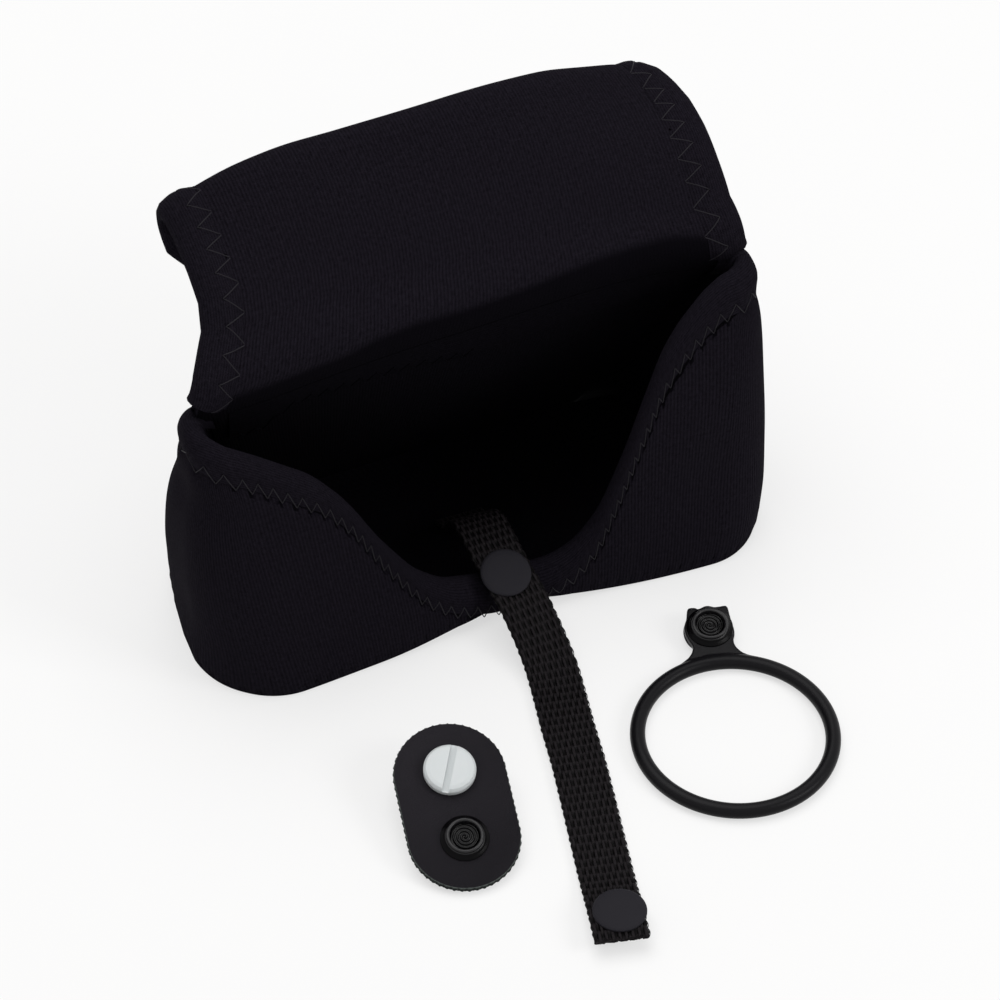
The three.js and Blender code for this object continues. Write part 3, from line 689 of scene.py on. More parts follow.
back_chart = sheet_chart(BACK_FOOT, BACK_TOP, BACK_ROWS)
back_cloth = lofted("back_cloth", 220, 2 * BACK_ROWS + 2, back_place, back_chart)
assemble(back_cloth, neoprene, "pouch", "neoprene", "back_panel")
# The panel's inward faces take the darker knit as painted shade.
back_cloth.data.materials.append(lining)
for face in back_cloth.data.polygons:
    if face.normal.y < 0:
        face.material_index = 1

# Floor. A panel of the same cloth inside the foot of the wall, its edge turned up into the
# overlocked seam that joins the two.
FLOOR_CORNER = 5.0  # the power of the blunt oval that the floor is cut to


def floor_place(u, v):
    turn = u * 2 * np.pi
    radius = np.interp(v, [0, 0.45, 0.55, 1], [0, 1, 1, 0])
    z = np.interp(v, [0, 0.45, 0.55, 1], [2.9, 2.9, 0.15, 0.15])
    cosine = np.cos(turn)
    sine = np.sin(turn)
    blunt = (np.abs(cosine) ** FLOOR_CORNER + np.abs(sine) ** FLOOR_CORNER) ** (-1 / FLOOR_CORNER)
    x = 69.5 * radius * cosine * blunt
    y = 28 * radius * sine * blunt - 0.6
    return np.stack([x, y, z + 0.8 * smooth(radius, 0.86, 1) * (v < 0.5)], -1)


floor_cloth = lofted("floor_cloth", 180, 40, floor_place, lambda u, v: (u * 180, v * 60), fill=False)
# The floor takes the darker knit as painted shade.
assemble(floor_cloth, lining, "pouch", "neoprene", "floor_panel")

# Mouth tape. A knit tape sewn flat over the flap's seam inside the mouth, with a zigzag along
# its lower edge.
MOUTH_TOP = -6.5
MOUTH_ROWS = 16
MOUTH_SHIFT = -1.6
tape_turns = [-52, -49, -46.5, -42.5, -30, -19, -2, 10, 60]
tape_drops = [-27, -25.5, -20, -15.4, -16.6, -17, -20.6, -22, -17]


def tape_low(x):
    """Seam at the tape's lower edge, which turns down at the left corner."""
    return np.interp(x, tape_turns, tape_drops)


def mouth_place(u, v):
    length, side = sheet_section(v, MOUTH_ROWS)
    half = back_half(mix(-19, MOUTH_TOP, length)) - 4
    x = mix(-half, half, u) + MOUTH_SHIFT
    s = mix(tape_low(x) - 0.8, MOUTH_TOP, length)
    puff = 0.5 * smooth(length, 0, 0.15) * (1 - smooth(length, 0.35, 1)) - 0.2 * smooth(length, 0.8, 1)
    h = SKIN / 2 + 0.15 + (side > 0) * puff
    return cloth(x, s, h)


mouth_band = lofted("mouth_band", 240, 2 * MOUTH_ROWS + 2, mouth_place, lambda u, v: (v * 25, u * 120))
# The mouth tape takes the darker knit as painted shade.
assemble(mouth_band, lining, "pouch", "lining", "mouth_tape")
along, inward, _ = zigzag(-55, 4, LIP_ZIGZAG)
x = along + MOUTH_SHIFT
rise = tape_low(x) + LIP_ZIGZAG[2] - inward
path = cloth(x, rise, SKIN / 2 + 0.75)
seam = thread("mouth_seam", path, cloth(x, rise, SKIN / 2 + 1.75) - path, 0.15)
# Its seam thread takes the darker knit too, as painted shade.
assemble(seam, lining, "pouch", "binding")

# Flap. The same sheet past the fold, in five lengths that each bend over one crease, bound
# round three sides with the knit tape and a zigzag seam on both faces.
FLAP_LENGTH = 83.8
cuts = [-8.0, 8.0, 31.0, 48.0, 59.0, FLAP_LENGTH]
bends = [(-3, 3), (12, 20), (43.5, 47.5), (51, 56), (59.2, 63)]
# The two sides of the bound flap, measured in the photograph: along the sheet, and across.
left_edge = np.array([
    (-8, -68), (0, -70.6), (6, -68), (15, -63.1), (22, -61.5), (30, -61.3), (40, -61.4), (50, -62),
    (60, -61.7), (68, -57), (84, -54),
])
right_edge = np.array([
    (-8, 66), (0, 69.6), (6, 68.6), (12, 67.3), (22, 67.8), (31, 68.5), (40, 68.8), (46, 68.2),
    (53, 66.8), (61, 64), (84, 61),
])
EDGE = 2.6
CORNER = 16.0


def flap_side(side, s):
    """Cut edge of the sheet on one side, its corner rounded at the free end."""
    line = np.interp(s, *(right_edge if side > 0 else left_edge).T)
    past = np.maximum(0, s - (FLAP_LENGTH - CORNER))
    round_in = CORNER - EDGE - np.sqrt(np.maximum(0, (CORNER - EDGE) ** 2 - past ** 2))
    return line - side * (EDGE * smooth(s, -6, 2) + round_in)


def flap_place(low, high, rows):
    def place(u, v):
        length, h = sheet_section(v, rows)
        s = mix(low, min(high, FLAP_LENGTH - EDGE), length)
        return cloth(mix(flap_side(-1, s), flap_side(1, s), u), s, h)
    return place


def bend_over(piece, number):
    """Bakes a flap piece's placing into its mesh; the ends of its crease are worked out but not used."""
    low, high = bends[number]
    ends = cloth(np.array([3.4, 3.4]), np.array([low, high], float), np.zeros(2)) * MM
    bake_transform(piece)


edge_steps = np.arange(0.4, FLAP_LENGTH - CORNER, 0.4)
left_line = np.stack([flap_side(-1, edge_steps), edge_steps], 1)
right_line = np.stack([flap_side(1, edge_steps), edge_steps], 1)
arc = np.linspace(0, np.pi / 2, 60)
corner_in = CORNER - EDGE
left_arc = np.stack([flap_side(-1, edge_steps[-1:]) + corner_in * (1 - np.cos(arc)),
                     FLAP_LENGTH - CORNER + corner_in * np.sin(arc)], 1)
right_arc = np.stack([flap_side(1, edge_steps[-1:]) - corner_in * (1 - np.cos(arc)),
                      FLAP_LENGTH - CORNER + corner_in * np.sin(arc)], 1)
level = np.linspace(left_arc[-1], right_arc[-1], 260)
edge_line = np.concatenate([left_line, left_arc, level[1:-1], right_arc[::-1], right_line[::-1]])
edge_length = run_length(edge_line)
evener = np.ones(17) / 17
edge_ways = [np.convolve(np.pad(way, 8, mode="edge"), evener, mode="valid")
             for way in np.gradient(edge_line, edge_length, axis=0).T]
edge_ways = unit(np.stack(edge_ways, 1))


def on_edge(along, inward, h):
    """A place by the flap's bound edge: along it, in from it, and over the sheet's middle."""
    x = np.interp(along, edge_length, edge_line[:, 0])
    s = np.interp(along, edge_length, edge_line[:, 1])
    way_x = np.interp(along, edge_length, edge_ways[:, 0])
    way_s = np.interp(along, edge_length, edge_ways[:, 1])
    return cloth(x + way_s * inward, s - way_x * inward, h)


def edge_place(low, high):
    def place(u, v):
        inward, h, leg = tape_section(v)
        along = mix(low, high, u)
        dent = 0.45 * needle_dents(along, leg, FLAP_ZIGZAG) * (v < 0.5)
        return on_edge(along, inward, h - np.sign(h) * dent)
    return place


def edge_chart(low, high):
    return lambda u, v: tape_chart(mix(low, high, u), v)


# Painted crease shade: this copy of the knit takes its colour down to the dark tone along the crease.
crease_shade_knit = knit_cloth("neoprene_crease_shade", RIB_DARK, RIB_LIGHT, 0.85, 0.6, 0.00014)
tree = crease_shade_knit.node_tree
add = adder(tree)
crease_shade = tree.nodes.new("ShaderNodeAttribute")
crease_shade.attribute_name = "crease_shade"
colour = tree.nodes["Principled BSDF"].inputs["Base Color"].links[0].from_node
share = colour.inputs["Factor"].links[0].from_socket
shade = add("Math", 1.0, crease_shade.outputs["Fac"], operation="SUBTRACT")
tree.links.new(add("Math", share, shade, operation="MULTIPLY"), colour.inputs["Factor"])


def shade_fold(strip):
    """Paints crease shade into the first strip: how far each corner lies on the shaded side of the crease,
    where the colour goes down to the knit's dark tone.
    """
    mesh = strip.data
    spots = np.empty(len(mesh.vertices) * 3)
    mesh.vertices.foreach_get("co", spots)
    corners = np.empty(len(mesh.loops), int)
    mesh.loops.foreach_get("vertex_index", corners)
    chart = np.empty(len(mesh.loops) * 2)
    mesh.uv_layers["cloth"].data.foreach_get("uv", chart)
    normals = np.empty(len(mesh.polygons) * 3)
    mesh.polygons.foreach_get("normal", normals)
    sizes = np.empty(len(mesh.polygons), int)
    mesh.polygons.foreach_get("loop_total", sizes)
    x = spots.reshape(-1, 3)[corners, 0] * 1000
    crease = np.interp(x, [-60, -32, -24, -15, 0, 12, 22, 31, 38, 50, 54, 58, 62, 64],
                       [1.2, 1.3, 2.8, 3.5, 3.1, 3.5, 4.3, 5.2, 5.7, 6.2, 6.2, 5.7, 4.5, 3.3])
    crease_shaded = 1 - smooth(chart[1::2], crease - 2.2, crease + 0.6)
    crease_shaded = crease_shaded * (np.repeat(normals[1::3], sizes) < 0)
    mesh.attributes.new("crease_shade", "FLOAT", "CORNER").data.foreach_set("value", crease_shaded.astype(np.float32))


for number in range(5):
    low, high = cuts[number], cuts[number + 1]
    rows = max(int((high - low) * 2.5), 24)
    strip = lofted(f"flap_cloth_{number + 1}", 260, 2 * rows + 2, flap_place(low, high, rows),
                   sheet_chart(low, high, rows))
    # The first strip takes the knit with the painted crease shade.
    strip.data.materials.append(neoprene if number else crease_shade_knit)
    if number == 0:
        shade_fold(strip)
    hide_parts(f"flap_panel_{number + 1}")
    bend_over(strip, number)
    span = [max(low, 0.4), min(high, 67)]
    left = np.interp(span, left_line[:, 1], edge_length[:len(left_line)])
    right = np.interp(span, right_line[:, 1], edge_length[::-1][:len(right_line)])[::-1]
    spans = [("left", left), ("right", right)] if number < 4 else [("end", (left[0], right[1]))]
    for label, (start, end) in spans:
        steps = int((end - start) * 2.6)
        name = f"flap_tape_{label}_{number + 1}"
        tape = lofted(name, steps, 60, edge_place(start, end), edge_chart(start, end))
        tape.data.materials.append(binding)
        node = "flap_end_binding" if number == 4 else f"flap_binding_{label}_{number + 1}"
        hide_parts(node)
        bend_over(tape, number)
        along, inward, lift = zigzag(start, end, FLAP_ZIGZAG)
        for side, face in ((1, "over"), (-1, "under")):
            height = side * (SKIN / 2 + lift)
            path = on_edge(along, inward, height)
            normal = on_edge(along, inward, height + side) - path
            seam = thread(f"flap_seam_{label}_{face}_{number + 1}", path, normal, 0.15)
            seam.data.materials.append(thread_black)
            bend_over(seam, number)

# Tether. Half inch nylon webbing: stout warp yarns rise and dive past one another over hidden
# weft, which turns round the edges in small loops. It is sewn in behind the lip, snapped over
# it, and lies down the table to a melted cut end.
WEB_WIDTH = 12.7
YARN = 12.7 / 16
PICK = 4.8
web_points = np.array([
    (0.75, 0.68, 3.95), (0.65, -4.48, 6.68), (0.54, -7.82, 11.78), (0.35, -12.64, 15.41),
    (0.19, -18.7, 15.97), (0.3, -24.7, 14.94), (0.85, -30.47, 12.92), (1.55, -36.24, 10.93),
    (2.15, -41.53, 7.94), (2.6, -46.67, 4.72), (2.5, -52.19, 2.23), (1.6, -58.14, 1.04),
    (0.3, -64.14, 1.04), (-1.0, -70.12, 1.01), (-2.15, -76.09, 1.01), (-3.32, -82.04, 1.03),
    (-4.68, -87.97, 1.05), (-6.05, -93.95, 0.96), (-7.43, -99.9, 0.82), (-8.83, -105.86, 0.75),
    (-10.25, -111.81, 0.86), (-11.7, -117.73, 1.46), (-13.2, -123.5, 2.94), (-14.7, -129.35, 4.05),
    (-16.2, -135.29, 4.45),
])


def smooth_path(points, share):
    """Catmull-Rom curve through evenly spaced points."""
    ends = np.concatenate([[2 * points[0] - points[1]], points, [2 * points[-1] - points[-2]]])
    t = np.clip(share, 0, 1) * (len(points) - 1)
    i = np.minimum(t.astype(int), len(points) - 2)
    f = (t - i)[:, None]
    a, b, c, d = (ends[i + k] for k in range(4))
    bend = (2 * a - 5 * b + 4 * c - d) * f ** 2 + (3 * b - a - 3 * c + d) * f ** 3
    return 0.5 * (2 * b + (c - a) * f + bend)


web_dense = smooth_path(web_points, np.linspace(0, 1, 1201))
web_way = unit(np.gradient(web_dense, axis=0))
web_side = unit(np.cross(np.array([0, 0, 1.0]), web_way))
web_up = np.cross(web_way, web_side)
web_length = run_length(web_dense)
WEB_TOTAL = float(web_length[-1])


def on_web(length, side, up):
    """A place on the tether: along it, to its left, and over its middle."""
    columns = [np.stack([np.interp(length, web_length, t[:, k]) for k in range(3)], -1)
               for t in (web_dense, web_side, web_up)]
    return columns[0] + columns[1] * side[:, None] + columns[2] * up[:, None]


WEB_COLUMNS = 88
WEB_EDGE = 4


def web_section(v):
    """Across the tether, and the side of it: top face, rounded edge, under face, rounded edge."""
    row = np.rint(v * 2 * (WEB_COLUMNS + WEB_EDGE))
    top = row <= WEB_COLUMNS
    under = (row >= WEB_COLUMNS + WEB_EDGE) & (row <= 2 * WEB_COLUMNS + WEB_EDGE)
    across = np.where(top, 1 - 2 * row / WEB_COLUMNS, 2 * (row - WEB_COLUMNS - WEB_EDGE) / WEB_COLUMNS - 1)
    turn_left = (row - 2 * WEB_COLUMNS - WEB_EDGE) / WEB_EDGE * np.pi
    turn_right = (row - WEB_COLUMNS) / WEB_EDGE * np.pi
    left = row > 2 * WEB_COLUMNS + WEB_EDGE
    angle = np.where(left, turn_left, turn_right)
    edge = ~(top | under)
    side = np.where(edge, np.where(left, 1, -1), across)
    lift = np.where(top, 1.0, np.where(under, -1.0, np.where(left, -1, 1) * np.cos(angle)))
    out = np.where(edge, np.sin(angle), 0) * np.where(left, 1, -1)
    return side, lift, out


def web_place(low, high):
    def place(u, v):
        length = mix(low, high, u)
        side, lift, out = web_section(v)
        yarn = (side * WEB_WIDTH / 2 + WEB_WIDTH / 2) / YARN
        number = np.clip(np.floor(yarn), 0, 15)
        turn = 2 * np.pi * length / PICK + np.pi * (number % 2)
        local = (yarn - number) * 2 - 1
        rise = np.sin(turn) * np.where(lift > 0, 1.0, -1.0)
        wander = 0.04 * np.sin(length * 1.7 + number * 2.3)
        float_up = smooth(rise, -0.85, 0.1)
        weave = 0.3 * float_up + 0.2 * np.sqrt(np.clip(1 - 0.9 * local ** 2, 0.02, 1)) + wander
        flat = np.abs(lift) > 0.99
        up = lift * np.where(flat, 0.3 + weave, 0.5)
        ruffle = 0.1 * np.sin(4 * np.pi * length / PICK + side) + 0.04 * np.sin(length * 3.9)
        across = side * (WEB_WIDTH / 2 - 0.35) + out * 0.35 + np.sign(side) * ruffle * (np.abs(side) > 0.97)
        fray = 0.35 * np.sin(yarn * 1.9) + 0.3 * np.sin(yarn * 4.7 + 1) + 0.2 * np.sin(yarn * 9.1)
        length = length + fray * smooth(length, WEB_TOTAL - 1.2, WEB_TOTAL)
        up = up * mix(1, 0.75, smooth(length, WEB_TOTAL - 1.0, WEB_TOTAL))
        return on_web(length, -across, up)
    return place


def web_chart(low, high):
    return lambda u, v: (web_section(v)[0] * WEB_WIDTH / 2, mix(low, high, u))


webbing = surface("nylon_webbing", 0.5, 0.06)
tree = webbing.node_tree
add = adder(tree)
chart = add("UVMap", uv_map="cloth")
stretch = add("VectorMath", chart, (9, 0.6, 1), operation="MULTIPLY")
fibre = add("TexNoise", stretch, None, 1.0, 2.0)
patch = add("TexNoise", chart, None, 0.7, 2.0)
across = add("SeparateXYZ", chart).node.outputs
yarn = add("Math", across["X"], 8 * YARN, operation="ADD")
yarn = add("Math", yarn, YARN, operation="DIVIDE")
parity = add("Math", add("Math", yarn, operation="FLOOR"), math.pi, operation="MULTIPLY")
turn = add("Math", across["Y"], 2 * math.pi / PICK, parity, operation="MULTIPLY_ADD")
# Painted shade: the colour darkens between the yarns and where each yarn dives under the weft; the fibre and
# patch noises are the yarn's own tone.
rise = add("MapRange", add("Math", turn, operation="SINE"), -0.95, -0.1, 0.0, 1.0)
groove = add("Math", yarn, 0.5, operation="PINGPONG")
groove = add("MapRange", groove, 0.0, 0.24, 0.3, 1.0)
share = add("Math", fibre, patch, operation="MULTIPLY")
share = add("MapRange", share, 0.1, 0.4, 0.1, 1.0)
weave_shade = add("Math", rise, groove, operation="MULTIPLY")
share = add("Math", share, weave_shade, operation="MULTIPLY")
dye(tree, share, (0.0012, 0.001, 0.0011), (0.0205, 0.0172, 0.0195))
emboss(tree, fibre, 0.00004)

LIFT_AT = 44.6
SPLIT_AT = 71.0
BEND_AT = 97.0
web_parts = [
    ("tether_near", 0.0, SPLIT_AT, ("strap_inner", "strap_front"), ("pouch", "tether_front"), LIFT_AT, 4.0),
    ("tether_far", SPLIT_AT, WEB_TOTAL, ("strap_end",), ("tether_front", "tether_end"), BEND_AT, 6.0),
]
for name, low, high, nodes, (near, far), hinge, spread in web_parts:
    strap = lofted(name, int((high - low) / 0.22), 2 * (WEB_COLUMNS + WEB_EDGE), web_place(low, high),
                   web_chart(low, high))
    strap.data.materials.append(webbing)
    steps = np.arange(low, high, 0.2)
    edge = WEB_WIDTH / 2 + 0.3 * np.abs(np.sin(2 * np.pi * steps / PICK))
    normals = on_web(steps, edge, 1 + 0 * steps) - on_web(steps, edge, 0 * steps)
    loops = thread(f"{name}_loops", on_web(steps, edge - 0.1, 0.1 * np.sin(steps)), normals, 0.11)
    loops.data.materials.append(webbing)
    for piece in (strap, loops):
        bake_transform(piece)
    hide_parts(*nodes)

# Cap of the lip's snap. A moulded disc with a slightly domed matt face, its post riveted down
# through the tether into the socket under it.


def turned(name, profile, place, steps=96, round_off=0.12):
    """A turned piece: a profile of radius and height spun about its own Z, then put in place."""
    bm = bmesh.new()
    verts = [bm.verts.new((r * MM, 0, z * MM)) for r, z in profile]
    for pair in zip(verts, verts[1:]):
        bm.edges.new(pair)
    bmesh.ops.bevel(bm, geom=verts[1:-1], offset=round_off * MM, segments=3, profile=0.5,
                    affect="VERTICES", material=-1, clamp_overlap=True)
    bmesh.ops.spin(bm, geom=bm.verts[:] + bm.edges[:], cent=(0, 0, 0), axis=(0, 0, 1), angle=2 * math.pi,
                   steps=steps, use_merge=True)
    bmesh.ops.remove_doubles(bm, verts=bm.verts, dist=1e-6)
    bmesh.ops.recalc_face_normals(bm, faces=bm.faces)
    for face in bm.faces:
        face.smooth = True
    mesh = bpy.data.meshes.new(name)
    bm.to_mesh(mesh)
    bm.free()
    mesh.transform(place)
    mesh.set_sharp_from_angle(angle=math.radians(40))
    return shown(name, mesh)


def standing(place, up):
    """Matrix that stands a piece on a place in millimetres, with its Z along a direction."""
    rotation = Vector((0, 0, 1)).rotation_difference(Vector(up)).to_matrix().to_4x4()
    return Matrix.Translation(Vector(place) * MM) @ rotation


def moulding(name, colour, roughness, grain, depth, scale, specular):
    """Moulded plastic, rubber or enamel with a fine grain over the given colour."""
    material = surface(name, roughness, specular)
    tree = material.node_tree
    add = adder(tree)
    place = tree.nodes.new("ShaderNodeTexCoord").outputs["Object"]
    fine = add("TexNoise", place, None, scale, 3.0)
    wide = add("TexNoise", place, None, scale / 9, 2.0)
    share = add("Mix", 0.5, fine, wide)
    dye(tree, share, [c * (1 - grain) for c in colour], [c * (1 + grain) for c in colour])
    rough = add("MapRange", wide, 0.3, 0.7, roughness * 0.85, min(roughness * 1.15, 1))
    tree.links.new(rough, tree.nodes["Principled BSDF"].inputs["Roughness"])
    emboss(tree, fine, depth)
    return material


cap_grey = moulding("cap_grey", (0.0175, 0.0165, 0.0205), 0.6, 0.5, 0.00003, 1600, 0.08)
snap_black = moulding("snap_black", (0.002, 0.0018, 0.0022), 0.2, 0.1, 0.00001, 1500, 0.06)
cap_profile = [
    (0, 1.28), (2.5, 1.25), (4.6, 1.12), (5.7, 0.92), (6.2, 0.6), (6.2, 0.1), (6.0, 0), (1.1, 0), (1.1, -2.4),
    (0, -2.4),
]
lip_axis = (0, -math.sin(math.radians(20)), math.cos(math.radians(20)))
lip_cap = turned("lip_cap", cap_profile, standing((0.15, -30.14, 14.02), lip_axis))
assemble(lip_cap, cap_grey, "pouch", "cap", "lip_snap_cap")

# Socket and stud of the lip's snap. The socket ring hangs under the tether and the stud stands
# on the lip, both glossy black, with the rivet's disc behind the lip.
socket_profile = [(2.3, 0), (4.6, 0), (4.9, 0.3), (4.9, 1.1), (4.6, 1.4), (2.3, 1.4), (2.3, 0)]
stud_profile = [(0, 0), (3.9, 0), (3.9, 0.6), (1.9, 0.6), (1.6, 1.1), (1.9, 1.6), (1.5, 1.9), (0, 1.9)]
rivet_profile = [(0, -4.2), (3.9, -4.1), (3.9, -3.5), (1.1, -3.4), (1.1, 1.9), (0, 1.9)]
lip_parts = [
    ("socket", socket_profile, (0.15, -29.01, 10.92), snap_black, "snap"),
    ("stud", stud_profile, (0.15, -28.71, 10.08), snap_black, "snap"),
    ("rivet", rivet_profile, (0.15, -28.09, 8.39), cap_grey, "cap"),
]
for name, profile, place, material, slot in lip_parts:
    part = turned(f"lip_{name}", profile, standing(place, lip_axis), 64, 0.1)
    assemble(part, material, "pouch", slot, f"lip_snap_{name}")

# Snap at the tether's end. The same moulded cap lies on top of the webbing, and the same stud,
# upside down, is riveted to it from below.
tip_axis = (0.01, 0.03, 1)
tip_cap = turned("tip_cap", cap_profile, standing((-13.5, -127.9, 4.73), tip_axis))
assemble(tip_cap, cap_grey, "tether_end", "cap", "tip_snap_cap")
hung_profile = [(radius, -z) for radius, z in stud_profile]
tip_stud = turned("tip_stud", hung_profile, standing((-13.5, -127.9, 2.95), tip_axis), 64, 0.1)
assemble(tip_stud, snap_black, "tether_end", "snap", "tip_snap_stud")

# Leather tab. A pill cut with a die from 2 mm dyed leather: finely creased grain above, a raw
# fibrous edge, pale along its upper part and dark below. It leans on the end of its screw.
tab_turn = Matrix.Rotation(math.radians(-10.5), 4, "Z") @ Matrix.Rotation(math.radians(14.5), 4, "X")
tab_frame = Matrix.Translation((-0.03615, -0.0866, 0.00556)) @ tab_turn
TAB_HALF = 8.0
TAB_RADIUS = 13.15
TAB_ROWS = 12


def pill_edge(u):
    """Outline of the pill and its outward direction, once round."""
    straight = 4 * TAB_HALF
    arc = np.pi * TAB_RADIUS
    t = (u % 1) * (straight + 2 * arc)
    zones = [t < arc, t < arc + straight / 2, t < 2 * arc + straight / 2]
    first = t / TAB_RADIUS
    second = np.pi + (t - arc - straight / 2) / TAB_RADIUS
    angle = np.select(zones, [first, np.pi + 0 * t, second], 0 * t)
    y = np.select(zones, [TAB_HALF + 0 * t, TAB_HALF - (t - arc), -TAB_HALF + 0 * t],
                  -TAB_HALF + (t - 2 * arc - straight / 2))
    way = np.stack([np.cos(angle), np.sin(angle)], -1)
    return np.stack([0 * t, y], -1), way


def tab_place(u, v):
    row = np.rint(v * 2 * (TAB_ROWS + 4))
    edge_row = np.clip(row - TAB_ROWS, 0, 8)
    share = np.where(row <= TAB_ROWS, row / TAB_ROWS, np.clip((2 * TAB_ROWS + 8 - row) / TAB_ROWS, 0, 1))
    share = share ** 0.8
    centre, way = pill_edge(u)
    turn = edge_row / 8 * np.pi
    ragged = 0.09 * np.sin(u * 397) + 0.07 * np.sin(u * 811 + edge_row)
    ragged = (ragged + 0.05 * np.sin(u * 1423 + 2 * edge_row)) * (edge_row > 1) * (edge_row < 8)
    radius = TAB_RADIUS - 0.35 + 0.35 * np.sin(turn) * (edge_row > 0) + ragged
    z = np.where(row <= TAB_ROWS, 2.0, np.where(row >= TAB_ROWS + 8, 0.0, 1 + np.cos(turn)))
    z = z - 0.12 * np.where(row <= TAB_ROWS, smooth(share, 0.9, 1), 0)
    inner = np.stack([0 * u, centre[:, 1]], -1)
    flat = inner * mix(0.97, 1, share)[:, None] + way * (radius * share)[:, None]
    return np.concatenate([flat, z[:, None]], 1)


leather = surface("dyed_leather", 0.6, 0.08)
tree = leather.node_tree
add = adder(tree)
place = tree.nodes.new("ShaderNodeTexCoord").outputs["Object"]
cells = add("TexVoronoi", place, None, 1900.0, feature="DISTANCE_TO_EDGE")
creases = add("MapRange", cells, 0.0, 0.2, 0.1, 1.0)
pores = add("TexNoise", place, None, 4200.0, 3.0)
clouds = add("TexNoise", place, None, 260.0, 3.0)
height = add("Math", creases, 0.6, pores, operation="MULTIPLY_ADD")
specks = add("MapRange", pores, 0.3, 0.7, 0.3, 1.5)
# Colour: the creases are darkened as painted shade, over the leather's own mottled tone from the clouds and
# pores.
share = add("Math", clouds, creases, operation="MULTIPLY")
share = add("Math", share, specks, operation="MULTIPLY")
dye(tree, share, (0.012, 0.0108, 0.0135), (0.076, 0.0695, 0.083))
emboss(tree, height, 0.00016)
raw_edge = surface("leather_edge", 0.9, 0.05)
tree = raw_edge.node_tree
add = adder(tree)
chart = add("UVMap", uv_map="cloth")
fibre = add("TexNoise", chart, None, 2.5, 3.0, 0.7)
depth = add("SeparateXYZ", chart).node.outputs["Y"]
rim = add("MapRange", depth, 23.5, 28.0, 1.0, 0.1)
share = add("Math", fibre, rim, operation="MULTIPLY")
dye(tree, share, (0.005, 0.006, 0.0057), (0.28, 0.32, 0.3))
tab = lofted("tab_leather", 620, 2 * (TAB_ROWS + 4), tab_place, lambda u, v: (u * 114, v * 60), fill=False)
assemble(tab, leather, "tab", "leather", "leather_tab")
tab.data.materials.append(raw_edge)
for face in tab.data.polygons:
    if abs(face.normal.z) < 0.9:
        face.material_index = 1
tab.data.transform(tab_frame)

# Tripod screw. Moulded in white nylon, a little translucent: a round slotted head and a
# quarter inch thread of twenty turns to the inch.
screw_turn = Matrix.Rotation(math.radians(-22), 4, "Z")
screw_frame = tab_frame @ Matrix.Translation((0, 0.00855, 0.0022)) @ screw_turn
THREAD_PITCH = 1.27
nylon = surface("white_nylon", 0.35, 0.3, (0.655, 0.685, 0.69))
shader = nylon.node_tree.nodes["Principled BSDF"]
shader.inputs["Subsurface Weight"].default_value = 0.2
shader.inputs["Subsurface Radius"].default_value = (0.9, 1, 1)
shader.inputs["Subsurface Scale"].default_value = 0.0016
head_profile = [(0, 2.4), (4.7, 2.4), (5.6, 2.2), (6.15, 1.5), (6.15, 0.1), (6, 0), (0, 0)]
head = turned("screw_head", head_profile, screw_frame, 96, 0.25)
bm = bmesh.new()
bmesh.ops.create_cube(bm, size=1)
bmesh.ops.scale(bm, vec=(0.0016, 0.02, 0.0024), verts=bm.verts)
bmesh.ops.translate(bm, vec=(0, 0, 0.0025), verts=bm.verts)
slot_mesh = bpy.data.meshes.new("slot_tool")
bm.to_mesh(slot_mesh)
bm.free()
slot_mesh.transform(screw_frame)
slot_tool = shown("slot_tool", slot_mesh)
cutter = head.modifiers.new("slot", "BOOLEAN")
cutter.object = slot_tool
cutter.solver = "EXACT"
bpy.context.view_layer.update()
slotted = bpy.data.meshes.new_from_object(head.evaluated_get(bpy.context.evaluated_depsgraph_get()))
head.modifiers.clear()
head.data = slotted
head.data.set_sharp_from_angle(angle=math.radians(40))
bpy.data.objects.remove(slot_tool)


def round_axis(radius, share, z):
    """Places at a radius about the axis, a share of a turn round."""
    turn = share * 2 * np.pi
    return np.stack([radius * np.cos(turn), radius * np.sin(turn), z], -1)


def thread_place(u, v):
    z = mix(0.2, -9.5, v)
    share = np.abs(((z / THREAD_PITCH - u) % 1) * 2 - 1)
    depth = 0.78 * smooth(share, 0.12, 0.88)
    taper = 0.5 * smooth(-z, 8.6, 9.5)
    return round_axis(3.17 - np.minimum(depth + taper, 0.95) * smooth(-z, 0.3, 1.0), u, z)


shank = lofted("screw_thread", 48, 150, thread_place, lambda u, v: (u, v))
shank.data.transform(screw_frame)
head.data.materials.clear()
assemble(head, nylon, "screw", "nylon", "tripod_screw")
assemble(shank, nylon, "screw", "nylon")

# Raised snaps of the tab and the ring. A glossy black socket: a flange, a rolled crown, and
# inside it the coiled head of its post. A flat cap closes each from behind.


flange = [(0, 0), (5.7, 0), (5.7, 0.22), (5.3, 0.5), (4.95, 0.72), (4.8, 0.95), (4.55, 1.12), (4.42, 1.2)]
rim_turns = np.linspace(-0.5, math.pi + 0.5, 14)
rolled_rim = [(3.98 + 0.46 * math.cos(turn), 1.54 + 0.46 * math.sin(turn)) for turn in rim_turns]
crown_profile = flange + rolled_rim + [(3.45, 0.9), (3.3, 0.62), (0, 0.6)]
COIL_PITCH = 0.88


def coil_place(u, v):
    radius = 3.3 * v
    away = (radius / COIL_PITCH - u + 0.05) % 1 - 0.5
    ridge = np.exp(-((away * COIL_PITCH / 0.24) ** 2))
    return round_axis(radius, u, 0.66 + 0.5 * ridge * smooth(3.35 - radius, 0, 0.2))


# The socket's crown takes a colour four times lighter than its black body, a painted highlight, with a higher
# specular.
painted_rim_highlight = moulding("painted_rim_highlight", (0.009, 0.0085, 0.0095), 0.3, 0.1, 0.00001, 1500, 0.3)
snap_coil = moulding("snap_coil", (0.003, 0.0028, 0.0032), 0.2, 0.1, 0.00001, 1500, 0.3)


